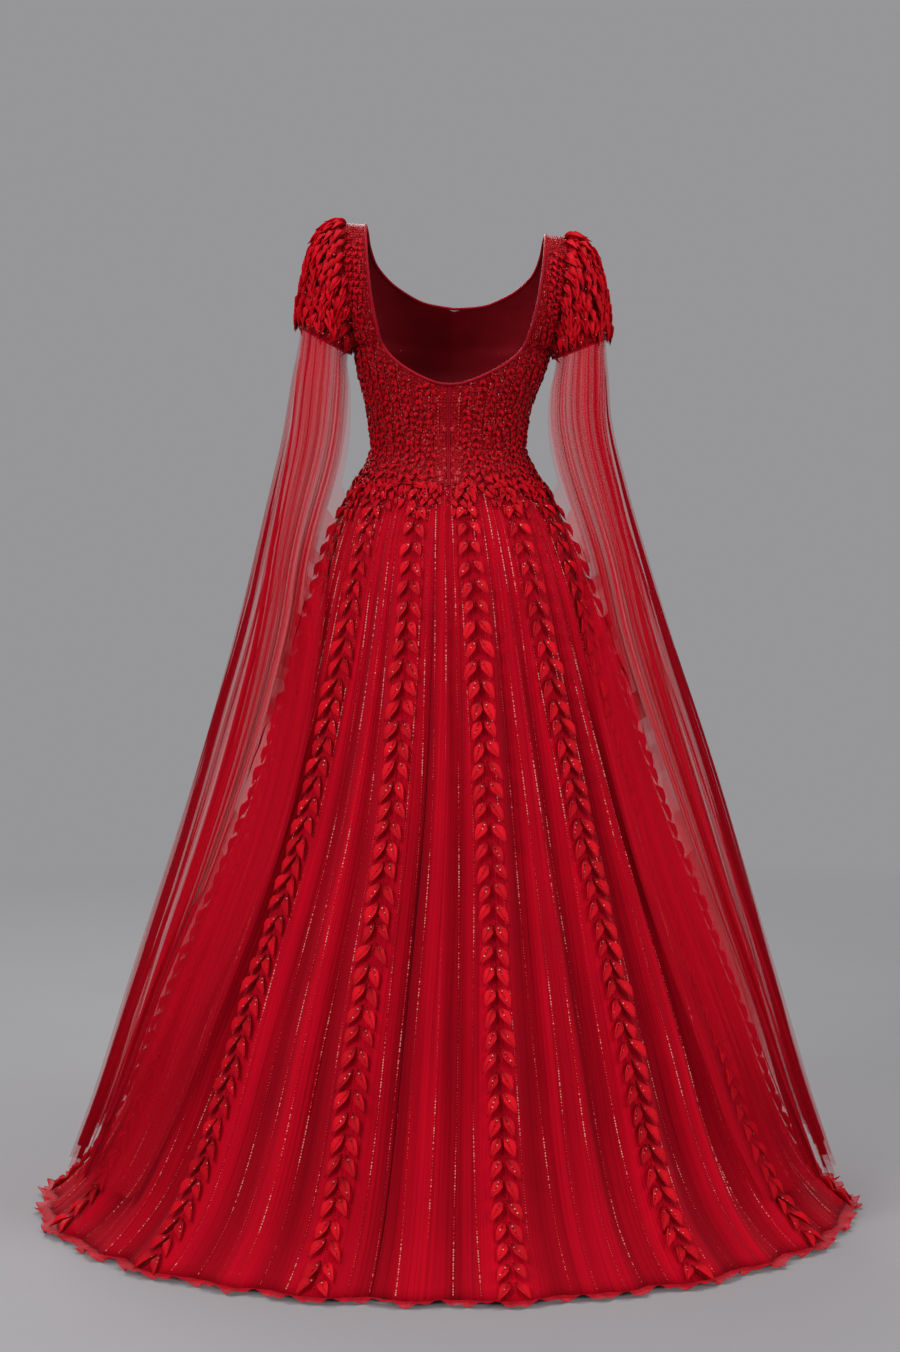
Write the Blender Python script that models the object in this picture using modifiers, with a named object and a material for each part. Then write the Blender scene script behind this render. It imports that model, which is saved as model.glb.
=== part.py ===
"""Red ball gown with an open back, petal cap sleeves, sheer sleeve drapes and leaf vines on a full skirt.

Metres, +Z up. The gown's front faces -Y and its back faces +Y; the wearer's left is +X. Heights in the tables
are above the floor, and the whole gown is then lowered so that the origin lies between the shoulder straps.
"""

import math
from collections import namedtuple

import bmesh
import bpy
from mathutils import Vector

COLLECTION = "ball_gown"
SHOULDER_HEIGHT = 1.49

WALL = 0.002
THIN_WALL = 0.0016
SEAM = 0.0004
LAID_ON = 0.0005

# Skirt. Fold depth is how far the troughs lie inside the ridges; leaf pairs is the count to the next row.
SkirtRow = namedtuple("SkirtRow", "height half_width half_depth fold_depth leaf_pairs")
SKIRT_ROWS = (
    SkirtRow(1.1044, 0.1450, 0.1150, 0.000, 2),
    SkirtRow(1.0400, 0.1790, 0.1500, 0.003, 2),
    SkirtRow(0.9600, 0.2080, 0.1880, 0.006, 3),
    SkirtRow(0.8500, 0.2400, 0.2280, 0.010, 3),
    SkirtRow(0.7200, 0.2810, 0.2740, 0.014, 3),
    SkirtRow(0.5800, 0.3310, 0.3280, 0.018, 3),
    SkirtRow(0.4400, 0.3880, 0.3860, 0.022, 3),
    SkirtRow(0.3000, 0.4460, 0.4440, 0.024, 3),
    SkirtRow(0.1700, 0.4970, 0.4960, 0.022, 2),
    SkirtRow(0.0800, 0.5450, 0.5440, 0.018, 1),
    SkirtRow(0.0300, 0.5880, 0.5880, 0.013, 1),
    SkirtRow(0.0070, 0.6160, 0.6160, 0.010, 0),
)

# Columns of one skirt sector: the flat facet that carries a vine, then places across the gap to the next.
# Across is a share of that gap and inset is a share of the fold depth.
FoldColumn = namedtuple("FoldColumn", "across inset")
FOLD_COLUMNS = (
    FoldColumn(0.24, 1.00),
    FoldColumn(0.42, 0.25),
    FoldColumn(0.58, 0.10),
    FoldColumn(0.77, 0.90),
)
SECTOR_COLUMNS = 2 + len(FOLD_COLUMNS)
SEAM_COLUMN = 2
VINES = 14
VINE_HALF_FACET = 0.022
FIRST_VINE_TURN = math.radians(8.6)
VINE_SPACING = 2 * math.pi / VINES
FOLD_UNEVENNESS = 0.3
FOLD_UNEVENNESS_TURN = 2.4

# Panels of the skirt by their vines, counted round from the centre back towards the wearer's right.
SkirtPanel = namedtuple("SkirtPanel", "name first_vine vines")
SKIRT_PANELS = (
    SkirtPanel("skirt_back_right", 0, 4),
    SkirtPanel("skirt_front_right", 4, 3),
    SkirtPanel("skirt_front_left", 7, 3),
    SkirtPanel("skirt_back_left", 10, 4),
)

LEAF_TIP_OUT = 0.0212
STEM_HALF_WIDTH = 0.0045
LEAF_TIP_DOWN = 0.93
LEAF_THICKNESS = 0.0022

HEM_EDGE_WIDTH = 0.021
HEM_EDGE_LIFT = 0.009
HEM_EDGE_DROP = 0.0042
HEM_EDGE_UNEVENNESS = 0.2
HEM_EDGE_UNEVENNESS_TURN = 1.9

# Bodice. Side is the half-width at the side seam, or at the armhole above it; the rest are edges and depths.
BodiceRow = namedtuple("BodiceRow", "height side back_depth front_depth back_neck front_neck")
BODICE_ROWS = (
    BodiceRow(1.1056, 0.1445, 0.1145, 0.1150, 0.0034, 0.0000),
    BodiceRow(1.1350, 0.1280, 0.1000, 0.1010, 0.0034, 0.0000),
    BodiceRow(1.1690, 0.1155, 0.0900, 0.0920, 0.0034, 0.0000),
    BodiceRow(1.2000, 0.1180, 0.0905, 0.0980, 0.0034, 0.0000),
    BodiceRow(1.2300, 0.1230, 0.0930, 0.1090, 0.0034, 0.0000),
    BodiceRow(1.2580, 0.1315, 0.0955, 0.1220, 0.0034, 0.0000),
    BodiceRow(1.2660, 0.1345, 0.0965, 0.1250, 0.0320, 0.0000),
    BodiceRow(1.2750, 0.1370, 0.0975, 0.1280, 0.0540, 0.0000),
    BodiceRow(1.2920, 0.1420, 0.0990, 0.1320, 0.0830, 0.0000),
    BodiceRow(1.3180, 0.1475, 0.1020, 0.1310, 0.1070, 0.0000),
    BodiceRow(1.3450, 0.1500, 0.1030, 0.1240, 0.1160, 0.0000),
    BodiceRow(1.3850, 0.1555, 0.1000, 0.1110, 0.1250, 0.0000),
    BodiceRow(1.4080, 0.1585, 0.0950, 0.1010, 0.1285, 0.0840),
    BodiceRow(1.4400, 0.1615, 0.0820, 0.0840, 0.1325, 0.1200),
    BodiceRow(1.4700, 0.1630, 0.0600, 0.0600, 0.1350, 0.1320),
    BodiceRow(1.4900, 0.1630, 0.0310, 0.0310, 0.1365, 0.1350),
    BodiceRow(1.4970, 0.1630, 0.0050, 0.0050, 0.1370, 0.1370),
    BodiceRow(1.4973, 0.1630, 0.0006, 0.0006, 0.1370, 0.1370),
)
BACK_COLUMNS = 5
FRONT_COLUMNS = 10
ZIP_HALF_WIDTH = 0.0030
ZIP_TOP_ROW = 5
ZIP_RECESS = 0.0004
BINDING_RADIUS = 0.0022
EDGE_STEP = 0.004

# Armhole: an upright ellipse at each side, from the underarm to the shoulder seam.
UNDERARM_HEIGHT = 1.3180
SHOULDER_TOP = 1.4975
ARMHOLE_HALF_DEPTH = 0.055
ARMHOLE_DEPTH_SHARE = 0.92

# Cap sleeve, from the armhole to its lower edge round the arm.
CAP_COLUMNS = 24
CAP_ROWS = 8
CUFF_CENTRE_OUT = 0.1945
CUFF_HALF_WIDTH = 0.0415
CUFF_HALF_DEPTH = 0.0525
CUFF_HEIGHT = 1.3220
CUFF_RISE_OUTWARD = 0.0185
CAP_MIDDLE_HEIGHT = 1.35
CAP_BULGE_OUT = 0.024
CAP_BULGE_UP = 0.080
CAP_CLEARANCE = 0.0009
CAP_UNDERARM_CLEARANCE = 0.0024
PETAL_HEIGHT = 0.0042
PETAL_ROOT_SHARE = 0.33
PETAL_TIP_DROP = 0.010

# Sleeve drape: an arc of an ellipse at each height. Turns are measured round the arm, from the body side
# over the back; outer is the outermost place, gather is the depth of the gathers, and tilt is the share of
# the cap's sloping lower edge that the row follows. Overlap is how far the back edge runs on over the skirt.
DrapeRow = namedtuple(
    "DrapeRow", "height outer half_width half_depth centre_y back_turn front_turn gather tilt overlap"
)
DRAPE_ROWS = (
    DrapeRow(1.3260, 0.2343, 0.0399, 0.0513, 0.000, 24, 318, 0.0000, 1.0, 0.000),
    DrapeRow(1.3080, 0.2344, 0.0399, 0.0514, 0.000, 24, 318, 0.0002, 1.0, 0.000),
    DrapeRow(1.2700, 0.2400, 0.0460, 0.0570, 0.000, 27, 314, 0.0025, 0.6, 0.000),
    DrapeRow(1.2000, 0.2490, 0.0530, 0.0670, -0.002, 32, 306, 0.0040, 0.2, 0.000),
    DrapeRow(1.1100, 0.2700, 0.0600, 0.0820, -0.007, 42, 298, 0.0055, 0.0, 0.000),
    DrapeRow(1.0100, 0.2960, 0.0620, 0.1080, -0.015, 55, 290, 0.0065, 0.0, 0.010),
    DrapeRow(0.8800, 0.3320, 0.0680, 0.1430, -0.025, 66, 283, 0.0075, 0.0, 0.045),
    DrapeRow(0.7200, 0.3820, 0.0730, 0.1820, -0.037, 77, 276, 0.0085, 0.0, 0.080),
    DrapeRow(0.5400, 0.4360, 0.0690, 0.2280, -0.047, 84, 271, 0.0095, 0.0, 0.105),
    DrapeRow(0.3500, 0.4930, 0.0550, 0.2610, -0.054, 88, 269, 0.0105, 0.0, 0.120),
    DrapeRow(0.1850, 0.5420, 0.0440, 0.2780, -0.058, 90, 268, 0.0115, 0.0, 0.125),
    DrapeRow(0.0750, 0.5800, 0.0340, 0.2860, -0.060, 90, 268, 0.0120, 0.0, 0.130),
)
DRAPE_COLUMNS = 28
DRAPE_SHIFT = -0.0065
OVERLAP_LIFT = 0.014
OVERLAP_SETTLES = 0.6

# How the body's stance shifts the gown sideways, and the slope of the shoulders.
StanceRow = namedtuple("StanceRow", "height sway")
STANCE_ROWS = (
    StanceRow(0.00, 0.000),
    StanceRow(0.30, -0.006),
    StanceRow(0.65, -0.013),
    StanceRow(0.90, -0.009),
    StanceRow(1.10, -0.003),
    StanceRow(1.20, -0.002),
    StanceRow(1.35, -0.010),
    StanceRow(1.55, -0.014),
)
SHOULDER_SLOPE = 0.06
SLOPE_FROM_HEIGHT = 1.20
SLOPE_FULL_HEIGHT = 1.45

# Material: colour, roughness.
Finish = namedtuple("Finish", "name colour roughness")
BEADED_CLOTH = Finish("beaded_cloth", (0.36, 0.006, 0.018, 1), 0.45)
SATIN_BINDING = Finish("satin_binding", (0.40, 0.008, 0.02, 1), 0.35)
PETAL_SATIN = Finish("petal_satin", (0.34, 0.006, 0.016, 1), 0.45)
SHEER_TULLE = Finish("sheer_tulle", (0.46, 0.02, 0.05, 1), 0.7)
SKIRT_TULLE = Finish("skirt_tulle", (0.33, 0.004, 0.016, 1), 0.6)
LEAF_SATIN = Finish("leaf_satin", (0.52, 0.004, 0.012, 1), 0.4)
ZIP_TAPE = Finish("zip_tape", (0.28, 0.004, 0.012, 1), 0.6)


def between(rows, column, height):
    """The named column of a table at this height, on straight lines between its rows."""
    ordered = sorted(rows, key=lambda row: row.height)
    for low, high in zip(ordered, ordered[1:]):
        if height <= high.height:
            share = max(0.0, (height - low.height) / (high.height - low.height))
            return getattr(low, column) * (1 - share) + getattr(high, column) * share
    return getattr(ordered[-1], column)


def eased(share):
    share = min(max(share, 0.0), 1.0)
    return share * share * (3 - 2 * share)


def posed(point):
    """The point after the body's stance: swayed sideways, and lifted or lowered with the shoulders."""
    sway = between(STANCE_ROWS, "sway", point.z)
    slope = SHOULDER_SLOPE * eased((point.z - SLOPE_FROM_HEIGHT) / (SLOPE_FULL_HEIGHT - SLOPE_FROM_HEIGHT))
    return Vector((point.x + sway, point.y, point.z + slope * point.x))


def material_of(finish):
    """The Principled material of a finish, made once."""
    if finish.name in bpy.data.materials:
        return bpy.data.materials[finish.name]
    material = bpy.data.materials.new(finish.name)
    material.use_nodes = True
    shader = material.node_tree.nodes["Principled BSDF"]
    shader.inputs["Base Color"].default_value = finish.colour
    shader.inputs["Roughness"].default_value = finish.roughness
    shader.inputs["Metallic"].default_value = 0.0
    material.diffuse_color = finish.colour
    return material


def grid_of(across, down, place, joined=False):
    """A bmesh grid whose vertex (i, j) is posed at place(i, j); joined closes it round into a tube."""
    shape = bmesh.new()
    bmesh.ops.create_grid(shape, x_segments=across, y_segments=down, size=1)
    for vert in shape.verts:
        column = round((vert.co.x + 1) / 2 * across)
        row = round((1 - vert.co.y) / 2 * down)
        vert.co = posed(place(column % across if joined else column, row))
    if joined:
        bmesh.ops.remove_doubles(shape, verts=shape.verts, dist=1e-6)
    return shape


def face_outwards(shape, outward):
    """Turns the faces round where most of them point against the outward direction at their centre."""
    agreement = sum(face.normal.dot(outward(face.calc_center_median())) for face in shape.faces)
    if agreement < 0:
        bmesh.ops.reverse_faces(shape, faces=shape.faces)


def from_axis(point):
    """Outwards from the gown's upright axis."""
    return Vector((point.x, point.y, 0))


def from_arm(side):
    """Outwards from the arm's axis on this side."""

    def outward(point):
        return Vector((point.x - side * CUFF_CENTRE_OUT, point.y, point.z - CAP_MIDDLE_HEIGHT))

    return outward


def cloth(name, shape, outward, finish, thickness=WALL, direction=-1, relief=None):
    """An object of the open surface in this bmesh, thickened inwards (-1) or outwards (+1) by Solidify.

    relief(vertex) is the share of the thickness at each vertex, for raised work on a plain inside.
    """
    shape.normal_update()
    face_outwards(shape, outward)
    shares = [relief(vert) for vert in shape.verts] if relief else None
    mesh = bpy.data.meshes.new(name)
    shape.to_mesh(mesh)
    shape.free()
    mesh.materials.append(material_of(finish))
    mesh.shade_smooth()
    obj = bpy.data.objects.new(name, mesh)
    bpy.data.collections[COLLECTION].objects.link(obj)
    obj.parent = bpy.data.objects["gown_origin"]
    solidify = obj.modifiers.new("wall", "SOLIDIFY")
    solidify.thickness = thickness
    solidify.offset = direction
    if shares:
        group = obj.vertex_groups.new(name="raised")
        for index, share in enumerate(shares):
            group.add([index], share, "REPLACE")
        solidify.vertex_group = "raised"
    return obj


def fold_unevenness(vine):
    """How much deeper than usual the folds beside this vine are."""
    return 1 + FOLD_UNEVENNESS * math.sin(FOLD_UNEVENNESS_TURN * (vine % VINES) + 0.7)


def skirt_point(row, vine, column):
    """Column 0 and 1 are the edges of this vine's facet, and 2 to 5 are the fold columns after it."""
    section = SKIRT_ROWS[row]
    vine_half_turn = VINE_HALF_FACET / ((section.half_width + section.half_depth) / 2)
    turn = FIRST_VINE_TURN + VINE_SPACING * vine
    inset = 0.0
    if column == 0:
        turn -= vine_half_turn
    else:
        turn += vine_half_turn
    if column > 1:
        fold = FOLD_COLUMNS[column - 2]
        turn += fold.across * (VINE_SPACING - 2 * vine_half_turn)
        inset = fold.inset * section.fold_depth * fold_unevenness(vine)
    return Vector(
        (
            -(section.half_width - inset) * math.sin(turn),
            (section.half_depth - inset) * math.cos(turn),
            section.height,
        )
    )


def skirt_column(index, row):
    """The skirt's columns counted on from the seam trough before vine 0, all the way round."""
    index += SEAM_COLUMN - SECTOR_COLUMNS
    return skirt_point(row, index // SECTOR_COLUMNS, index % SECTOR_COLUMNS)


def make_skirt_panel(panel):
    first = panel.first_vine * SECTOR_COLUMNS
    across = panel.vines * SECTOR_COLUMNS

    def place(column, row):
        point = skirt_column(first + column, row)
        if column in (0, across):
            beside = skirt_column(first + (1 if column == 0 else across - 1), row)
            point += SEAM * (beside - point).normalized()
        return point

    shape = grid_of(across, len(SKIRT_ROWS) - 1, place)
    return cloth(panel.name, shape, from_axis, SKIRT_TULLE)


def vine_point(vine, row, down, across):
    """A place on a vine's facet: down is the share of the way to the next row, across is in metres."""
    side = 0.5 + across / (2 * VINE_HALF_FACET)
    edges = []
    for section in (row, min(row + 1, len(SKIRT_ROWS) - 1)):
        right = posed(skirt_point(section, vine, 0))
        left = posed(skirt_point(section, vine, 1))
        edges.append(right.lerp(left, side))
    return edges[0].lerp(edges[1], down)


def vine_places():
    """(row, share down it) of each place on a stem where a leaf pair starts, and of the last end."""
    places = []
    for row, section in enumerate(SKIRT_ROWS[:-1]):
        places += [(row, pair / section.leaf_pairs) for pair in range(section.leaf_pairs)]
    return places + [(len(SKIRT_ROWS) - 2, 1.0)]


def make_vine(vine):
    """A stem ribbon whose side edges are drawn out and down into pointed leaves."""
    places = vine_places()
    shape = bmesh.new()
    bmesh.ops.create_grid(shape, x_segments=1, y_segments=len(places) - 1, size=1)
    steps = {}
    for vert in shape.verts:
        step = round((1 - vert.co.y) / 2 * (len(places) - 1))
        side = round(vert.co.x)
        steps[vert] = (step, side)
        row, down = places[step]
        vert.co = vine_point(vine, row, down, side * STEM_HALF_WIDTH)
    for edge in list(shape.edges):
        (step_a, side_a), (step_b, side_b) = (steps[vert] for vert in edge.verts)
        if side_a != side_b or abs(step_a - step_b) != 1:
            continue
        row, down = places[min(step_a, step_b)]
        tip_down = down + LEAF_TIP_DOWN / SKIRT_ROWS[row].leaf_pairs
        tip = vine_point(vine, row, tip_down, side_a * LEAF_TIP_OUT)
        drawn = bmesh.ops.extrude_edge_only(shape, edges=[edge])["geom"]
        ends = [item for item in drawn if isinstance(item, bmesh.types.BMVert)]
        bmesh.ops.pointmerge(shape, verts=ends, merge_co=tip)
    shape.normal_update()
    face_outwards(shape, from_axis)
    shape.normal_update()
    lifted = {vert: vert.co + LAID_ON * vert.normal for vert in shape.verts}
    for vert, place in lifted.items():
        vert.co = place
    name = f"leaf_vine_{vine + 1:02d}"
    return cloth(name, shape, from_axis, LEAF_SATIN, LEAF_THICKNESS, direction=1)


def make_hem_edging():
    """A ring of small waves that spreads on the floor just outside the skirt's lower edge."""
    bottom = len(SKIRT_ROWS) - 1
    around = VINES * SECTOR_COLUMNS

    def place(column, row):
        edge = skirt_column(column, bottom)
        outward = from_axis(edge).normalized()
        if row == 0:
            return edge + outward * 2 * SEAM - Vector((0, 0, HEM_EDGE_DROP / 2))
        wave = HEM_EDGE_LIFT if column % 2 else -HEM_EDGE_DROP
        reach = HEM_EDGE_WIDTH * (1 + HEM_EDGE_UNEVENNESS * math.sin(HEM_EDGE_UNEVENNESS_TURN * column))
        return edge + outward * reach + Vector((0, 0, wave))

    shape = grid_of(around, 1, place, joined=True)

    def upwards(_point):
        return Vector((0, 0, 1))

    return cloth("hem_edging", shape, upwards, SHEER_TULLE, THIN_WALL, direction=1)


def armhole_depth(height):
    """Half the front-to-back opening of the armhole at this height; 0 below it."""
    middle = (UNDERARM_HEIGHT + SHOULDER_TOP) / 2
    reach = (SHOULDER_TOP - UNDERARM_HEIGHT) / 2
    share = (height - middle) / reach
    return ARMHOLE_HALF_DEPTH * math.sqrt(max(0.0, 1 - share * share))


def bodice_point(height, across, side, facing, recess=0.0):
    """A place on the bodice: side is +1 for the wearer's left, facing is +1 for the back.

    across is the distance from the centre; the section is a quarter ellipse that ends at the side seam
    or at the armhole.
    """
    edge = between(BODICE_ROWS, "side", height)
    depth = between(BODICE_ROWS, "back_depth" if facing > 0 else "front_depth", height)
    edge_depth = min(armhole_depth(height), ARMHOLE_DEPTH_SHARE * depth)
    share = min(across / edge, 1.0)
    y = edge_depth + (depth - edge_depth) * math.sqrt(1 - share * share)
    return Vector((side * across, facing * max(y - recess, SEAM), height))


def across_at(height, neck, share):
    """The distance from the centre at this share of the way round from the neck edge to the side."""
    edge = between(BODICE_ROWS, "side", height)
    start = math.asin(neck / edge)
    return edge * math.sin(start + share * (math.pi / 2 - start))


def make_bodice_back(name, side):
    def place(column, row):
        section = BODICE_ROWS[row]
        across = across_at(section.height, section.back_neck, column / BACK_COLUMNS)
        return bodice_point(section.height, across, side, 1)

    shape = grid_of(BACK_COLUMNS, len(BODICE_ROWS) - 1, place)
    return cloth(name, shape, from_axis, BEADED_CLOTH)


def make_bodice_front():
    """One panel to each side of the neckline's lowest place; above it the two straps go on apart."""
    closed_rows = [row for row in BODICE_ROWS if row.front_neck == 0]
    half = FRONT_COLUMNS // 2

    def body(column, row):
        section = closed_rows[row]
        side = 1 if column > half else -1
        across = across_at(section.height, 0, abs(column - half) / half)
        return bodice_point(section.height, across, side, -1)

    shape = grid_of(FRONT_COLUMNS, len(closed_rows) - 1, body)
    for side in (-1, 1):
        open_rows = BODICE_ROWS[len(closed_rows) - 1 :]

        def strap(column, row):
            section = open_rows[row]
            across = across_at(section.height, section.front_neck, column / half)
            return bodice_point(section.height, across, side, -1)

        part = grid_of(half, len(open_rows) - 1, strap)
        part.normal_update()
        copy = bpy.data.meshes.new("strap")
        part.to_mesh(copy)
        part.free()
        shape.from_mesh(copy)
        bpy.data.meshes.remove(copy)
    bmesh.ops.remove_doubles(shape, verts=shape.verts, dist=1e-5)
    bmesh.ops.recalc_face_normals(shape, faces=shape.faces)
    return cloth("bodice_front", shape, from_axis, BEADED_CLOTH)


def make_zip():
    rows = BODICE_ROWS[: ZIP_TOP_ROW + 1]

    def place(column, row):
        across = ZIP_HALF_WIDTH * (column - 1)
        return bodice_point(rows[row].height, abs(across), 1 if across > 0 else -1, 1, ZIP_RECESS)

    shape = grid_of(2, len(rows) - 1, place)
    return cloth("back_zip", shape, from_axis, ZIP_TAPE, THIN_WALL)


def neckline(facing):
    """(across, height) down the neckline from the shoulder to the centre, on the wearer's left."""
    column = "back_neck" if facing > 0 else "front_neck"
    rows = [row for row in BODICE_ROWS if getattr(row, column) > EDGE_STEP]
    lowest = BODICE_ROWS[BODICE_ROWS.index(rows[0]) - 1]
    points = [(getattr(row, column), row.height) for row in reversed(rows)]
    return points + [(0.0, lowest.height)]


def binding_side(facing, side):
    """Places along the neckline from shoulder to centre, one binding radius and a seam off the edge."""
    points = neckline(facing)
    beside = BINDING_RADIUS + 2 * SEAM

    def surface(across, height):
        return bodice_point(height, across, side, facing)

    route = []
    for index, (across, height) in enumerate(points):
        edge = surface(across, height)
        run = surface(*points[min(index + 1, len(points) - 1)]) - surface(*points[max(index - 1, 0)])
        if across == 0:
            run = Vector((1, 0, 0))
        run.normalize()
        into_cloth = surface(across + EDGE_STEP, height - EDGE_STEP) - edge
        away = (into_cloth.dot(run) * run - into_cloth).normalized()
        outward = run.cross(away)
        if outward.y * facing < 0:
            outward = -outward
        route.append(edge + beside * away - outward * WALL / 2)
    return route


def make_neck_binding():
    """A satin tube along the whole neckline: down one back strap, round the U, and over to the front."""
    left_back = binding_side(1, 1)
    right_back = binding_side(1, -1)
    left_front = binding_side(-1, 1)
    right_front = binding_side(-1, -1)
    route = left_back + right_back[-2::-1] + right_front[1:] + left_front[-2:0:-1]
    curve = bpy.data.curves.new("neck_binding", "CURVE")
    curve.dimensions = "3D"
    curve.bevel_depth = BINDING_RADIUS
    curve.bevel_resolution = 1
    spline = curve.splines.new("POLY")
    spline.points.add(len(route) - 1)
    for point, place in zip(spline.points, route):
        point.co = (*posed(place), 1)
    spline.use_cyclic_u = True
    curve.materials.append(material_of(SATIN_BINDING))
    obj = bpy.data.objects.new("neck_binding", curve)
    bpy.data.collections[COLLECTION].objects.link(obj)
    obj.parent = bpy.data.objects["gown_origin"]
    return obj


def cap_point(turn, down, side):
    """A place on a cap sleeve: turn goes round the arm from the underarm over the back, down is 0 to 1."""
    lift = (1 - math.cos(turn)) / 2
    middle = (UNDERARM_HEIGHT + SHOULDER_TOP) / 2
    reach = (SHOULDER_TOP - UNDERARM_HEIGHT) / 2
    height = middle - reach * math.cos(turn)
    clearance = CAP_CLEARANCE + CAP_UNDERARM_CLEARANCE * (1 - lift) ** 2
    armhole = Vector(
        (
            between(BODICE_ROWS, "side", height) + clearance,
            ARMHOLE_HALF_DEPTH * math.sin(turn),
            height,
        )
    )
    cuff = cuff_point(turn, 0)
    bend = (armhole + cuff) / 2 + Vector((CAP_BULGE_OUT * lift, 0, CAP_BULGE_UP * lift))
    place = armhole * (1 - down) ** 2 + bend * 2 * down * (1 - down) + cuff * down * down
    return Vector((side * place.x, place.y, place.z))


def cuff_point(turn, inset):
    """The cap's lower edge round the arm, drawn in by inset."""
    return Vector(
        (
            CUFF_CENTRE_OUT - (CUFF_HALF_WIDTH - inset) * math.cos(turn),
            (CUFF_HALF_DEPTH - inset) * math.sin(turn),
            CUFF_HEIGHT - CUFF_RISE_OUTWARD * math.cos(turn),
        )
    )


def rounded(point):
    return tuple(round(value, 5) for value in point)


def make_cap(name, side):
    """A cap of overlapping petals: the outer points are raised in turn and the lower edge is toothed."""

    def place(column, row):
        turn = 2 * math.pi * column / CAP_COLUMNS
        point = cap_point(turn, row / CAP_ROWS, side)
        if row == CAP_ROWS and column % 2:
            point.z -= PETAL_TIP_DROP
        return point

    shape = grid_of(CAP_COLUMNS, CAP_ROWS, place, joined=True)
    raised = {}
    for column in range(CAP_COLUMNS):
        for row in range(CAP_ROWS + 1):
            is_tip = row and (column + row) % 2
            raised[rounded(posed(place(column, row)))] = 1.0 if is_tip else PETAL_ROOT_SHARE

    def relief(vert):
        return raised[rounded(vert.co)]

    return cloth(name, shape, from_arm(side), PETAL_SATIN, PETAL_HEIGHT, direction=1, relief=relief)


def overlap_share(section):
    """The share of a drape row's width that lies over the skirt."""
    sweep = math.radians(section.front_turn - section.back_turn)
    free = sweep * math.hypot(section.half_width, section.half_depth) / math.sqrt(2)
    return section.overlap / (section.overlap + free)


def skirt_reach(turn, height):
    """The distance from the gown's axis to the skirt's ridges in this direction."""
    across = math.sin(turn) / between(SKIRT_ROWS, "half_width", height)
    deep = math.cos(turn) / between(SKIRT_ROWS, "half_depth", height)
    return 1 / math.hypot(across, deep)


def make_drape(name, side):
    """A gathered sheet from inside the cap to just above the hem, its back edge over the skirt."""

    def free_place(section, share, gather):
        turn = math.radians(section.back_turn * (1 - share) + section.front_turn * share)
        centre = section.outer - section.half_width
        x = centre - (section.half_width + gather) * math.cos(turn)
        y = section.centre_y + (section.half_depth + gather) * math.sin(turn)
        height = section.height - section.tilt * CUFF_RISE_OUTWARD * math.cos(turn)
        return Vector((side * x + DRAPE_SHIFT * (1 - eased(height)), y, height))

    def place(column, row):
        section = DRAPE_ROWS[row]
        gather = section.gather * (1 if column % 2 else -1)
        over = overlap_share(section)
        share = column / DRAPE_COLUMNS
        if share >= over:
            return free_place(section, (share - over) / (1 - over), gather)
        gone = 1 - share / over
        edge = free_place(section, 0, 0)
        turn = math.atan2(edge.x, edge.y) - side * gone * section.overlap / edge.xy.length
        settled = skirt_reach(turn, section.height) + OVERLAP_LIFT
        rest = eased(gone / OVERLAP_SETTLES)
        reach = edge.xy.length * (1 - rest) + settled * rest + gather * (1 - 0.6 * rest)
        return Vector((reach * math.sin(turn), reach * math.cos(turn), edge.z))

    shape = grid_of(DRAPE_COLUMNS, len(DRAPE_ROWS) - 1, place)
    return cloth(name, shape, from_axis, SHEER_TULLE, THIN_WALL)


def clear_scene():
    for obj in list(bpy.data.objects):
        bpy.data.objects.remove(obj)


def main():
    clear_scene()
    collection = bpy.data.collections.new(COLLECTION)
    bpy.context.scene.collection.children.link(collection)
    origin = bpy.data.objects.new("gown_origin", None)
    origin.location.z = -SHOULDER_HEIGHT
    collection.objects.link(origin)
    for panel in SKIRT_PANELS:
        make_skirt_panel(panel)
    for vine in range(VINES):
        make_vine(vine)
    make_hem_edging()
    make_bodice_front()
    make_bodice_back("bodice_back_left", 1)
    make_bodice_back("bodice_back_right", -1)
    make_zip()
    make_neck_binding()
    make_cap("sleeve_cap_left", 1)
    make_cap("sleeve_cap_right", -1)
    make_drape("sleeve_drape_left", 1)
    make_drape("sleeve_drape_right", -1)


main()
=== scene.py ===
"""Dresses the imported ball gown: tulle skirt, satin leaf vines, beaded bodice, petal caps and sheer drapes.

Metres, +Z up. The gown's back faces +Y and the wearer's left is +X. Heights are above the floor, and placing
a point lowers it so that the origin lies between the shoulder straps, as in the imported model.
"""

import math
from collections import namedtuple

import bmesh
import bpy
import numpy as np
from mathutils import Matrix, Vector


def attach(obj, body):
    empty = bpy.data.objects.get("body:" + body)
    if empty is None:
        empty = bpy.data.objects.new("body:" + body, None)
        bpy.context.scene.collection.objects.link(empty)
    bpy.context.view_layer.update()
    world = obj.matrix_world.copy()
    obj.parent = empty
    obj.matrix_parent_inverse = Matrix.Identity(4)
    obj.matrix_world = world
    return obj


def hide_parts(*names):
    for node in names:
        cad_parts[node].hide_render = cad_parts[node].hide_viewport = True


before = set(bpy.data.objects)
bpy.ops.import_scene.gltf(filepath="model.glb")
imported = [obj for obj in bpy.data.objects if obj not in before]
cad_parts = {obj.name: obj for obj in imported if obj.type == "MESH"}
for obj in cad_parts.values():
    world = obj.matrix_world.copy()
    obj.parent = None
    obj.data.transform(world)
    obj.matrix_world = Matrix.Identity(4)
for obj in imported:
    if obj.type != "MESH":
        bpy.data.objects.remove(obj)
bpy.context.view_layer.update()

bl_info = {
    "name": "Ball gown dressing",
    "version": (1, 0, 0),
    "blender": (4, 5, 0),
    "location": "3D View > Sidebar > Gown",
    "description": "Makes the cloth, leaves, petals and beads of a ball gown on its packed model",
    "category": "Object",
}

SHOULDER_HEIGHT = 1.49

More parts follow.
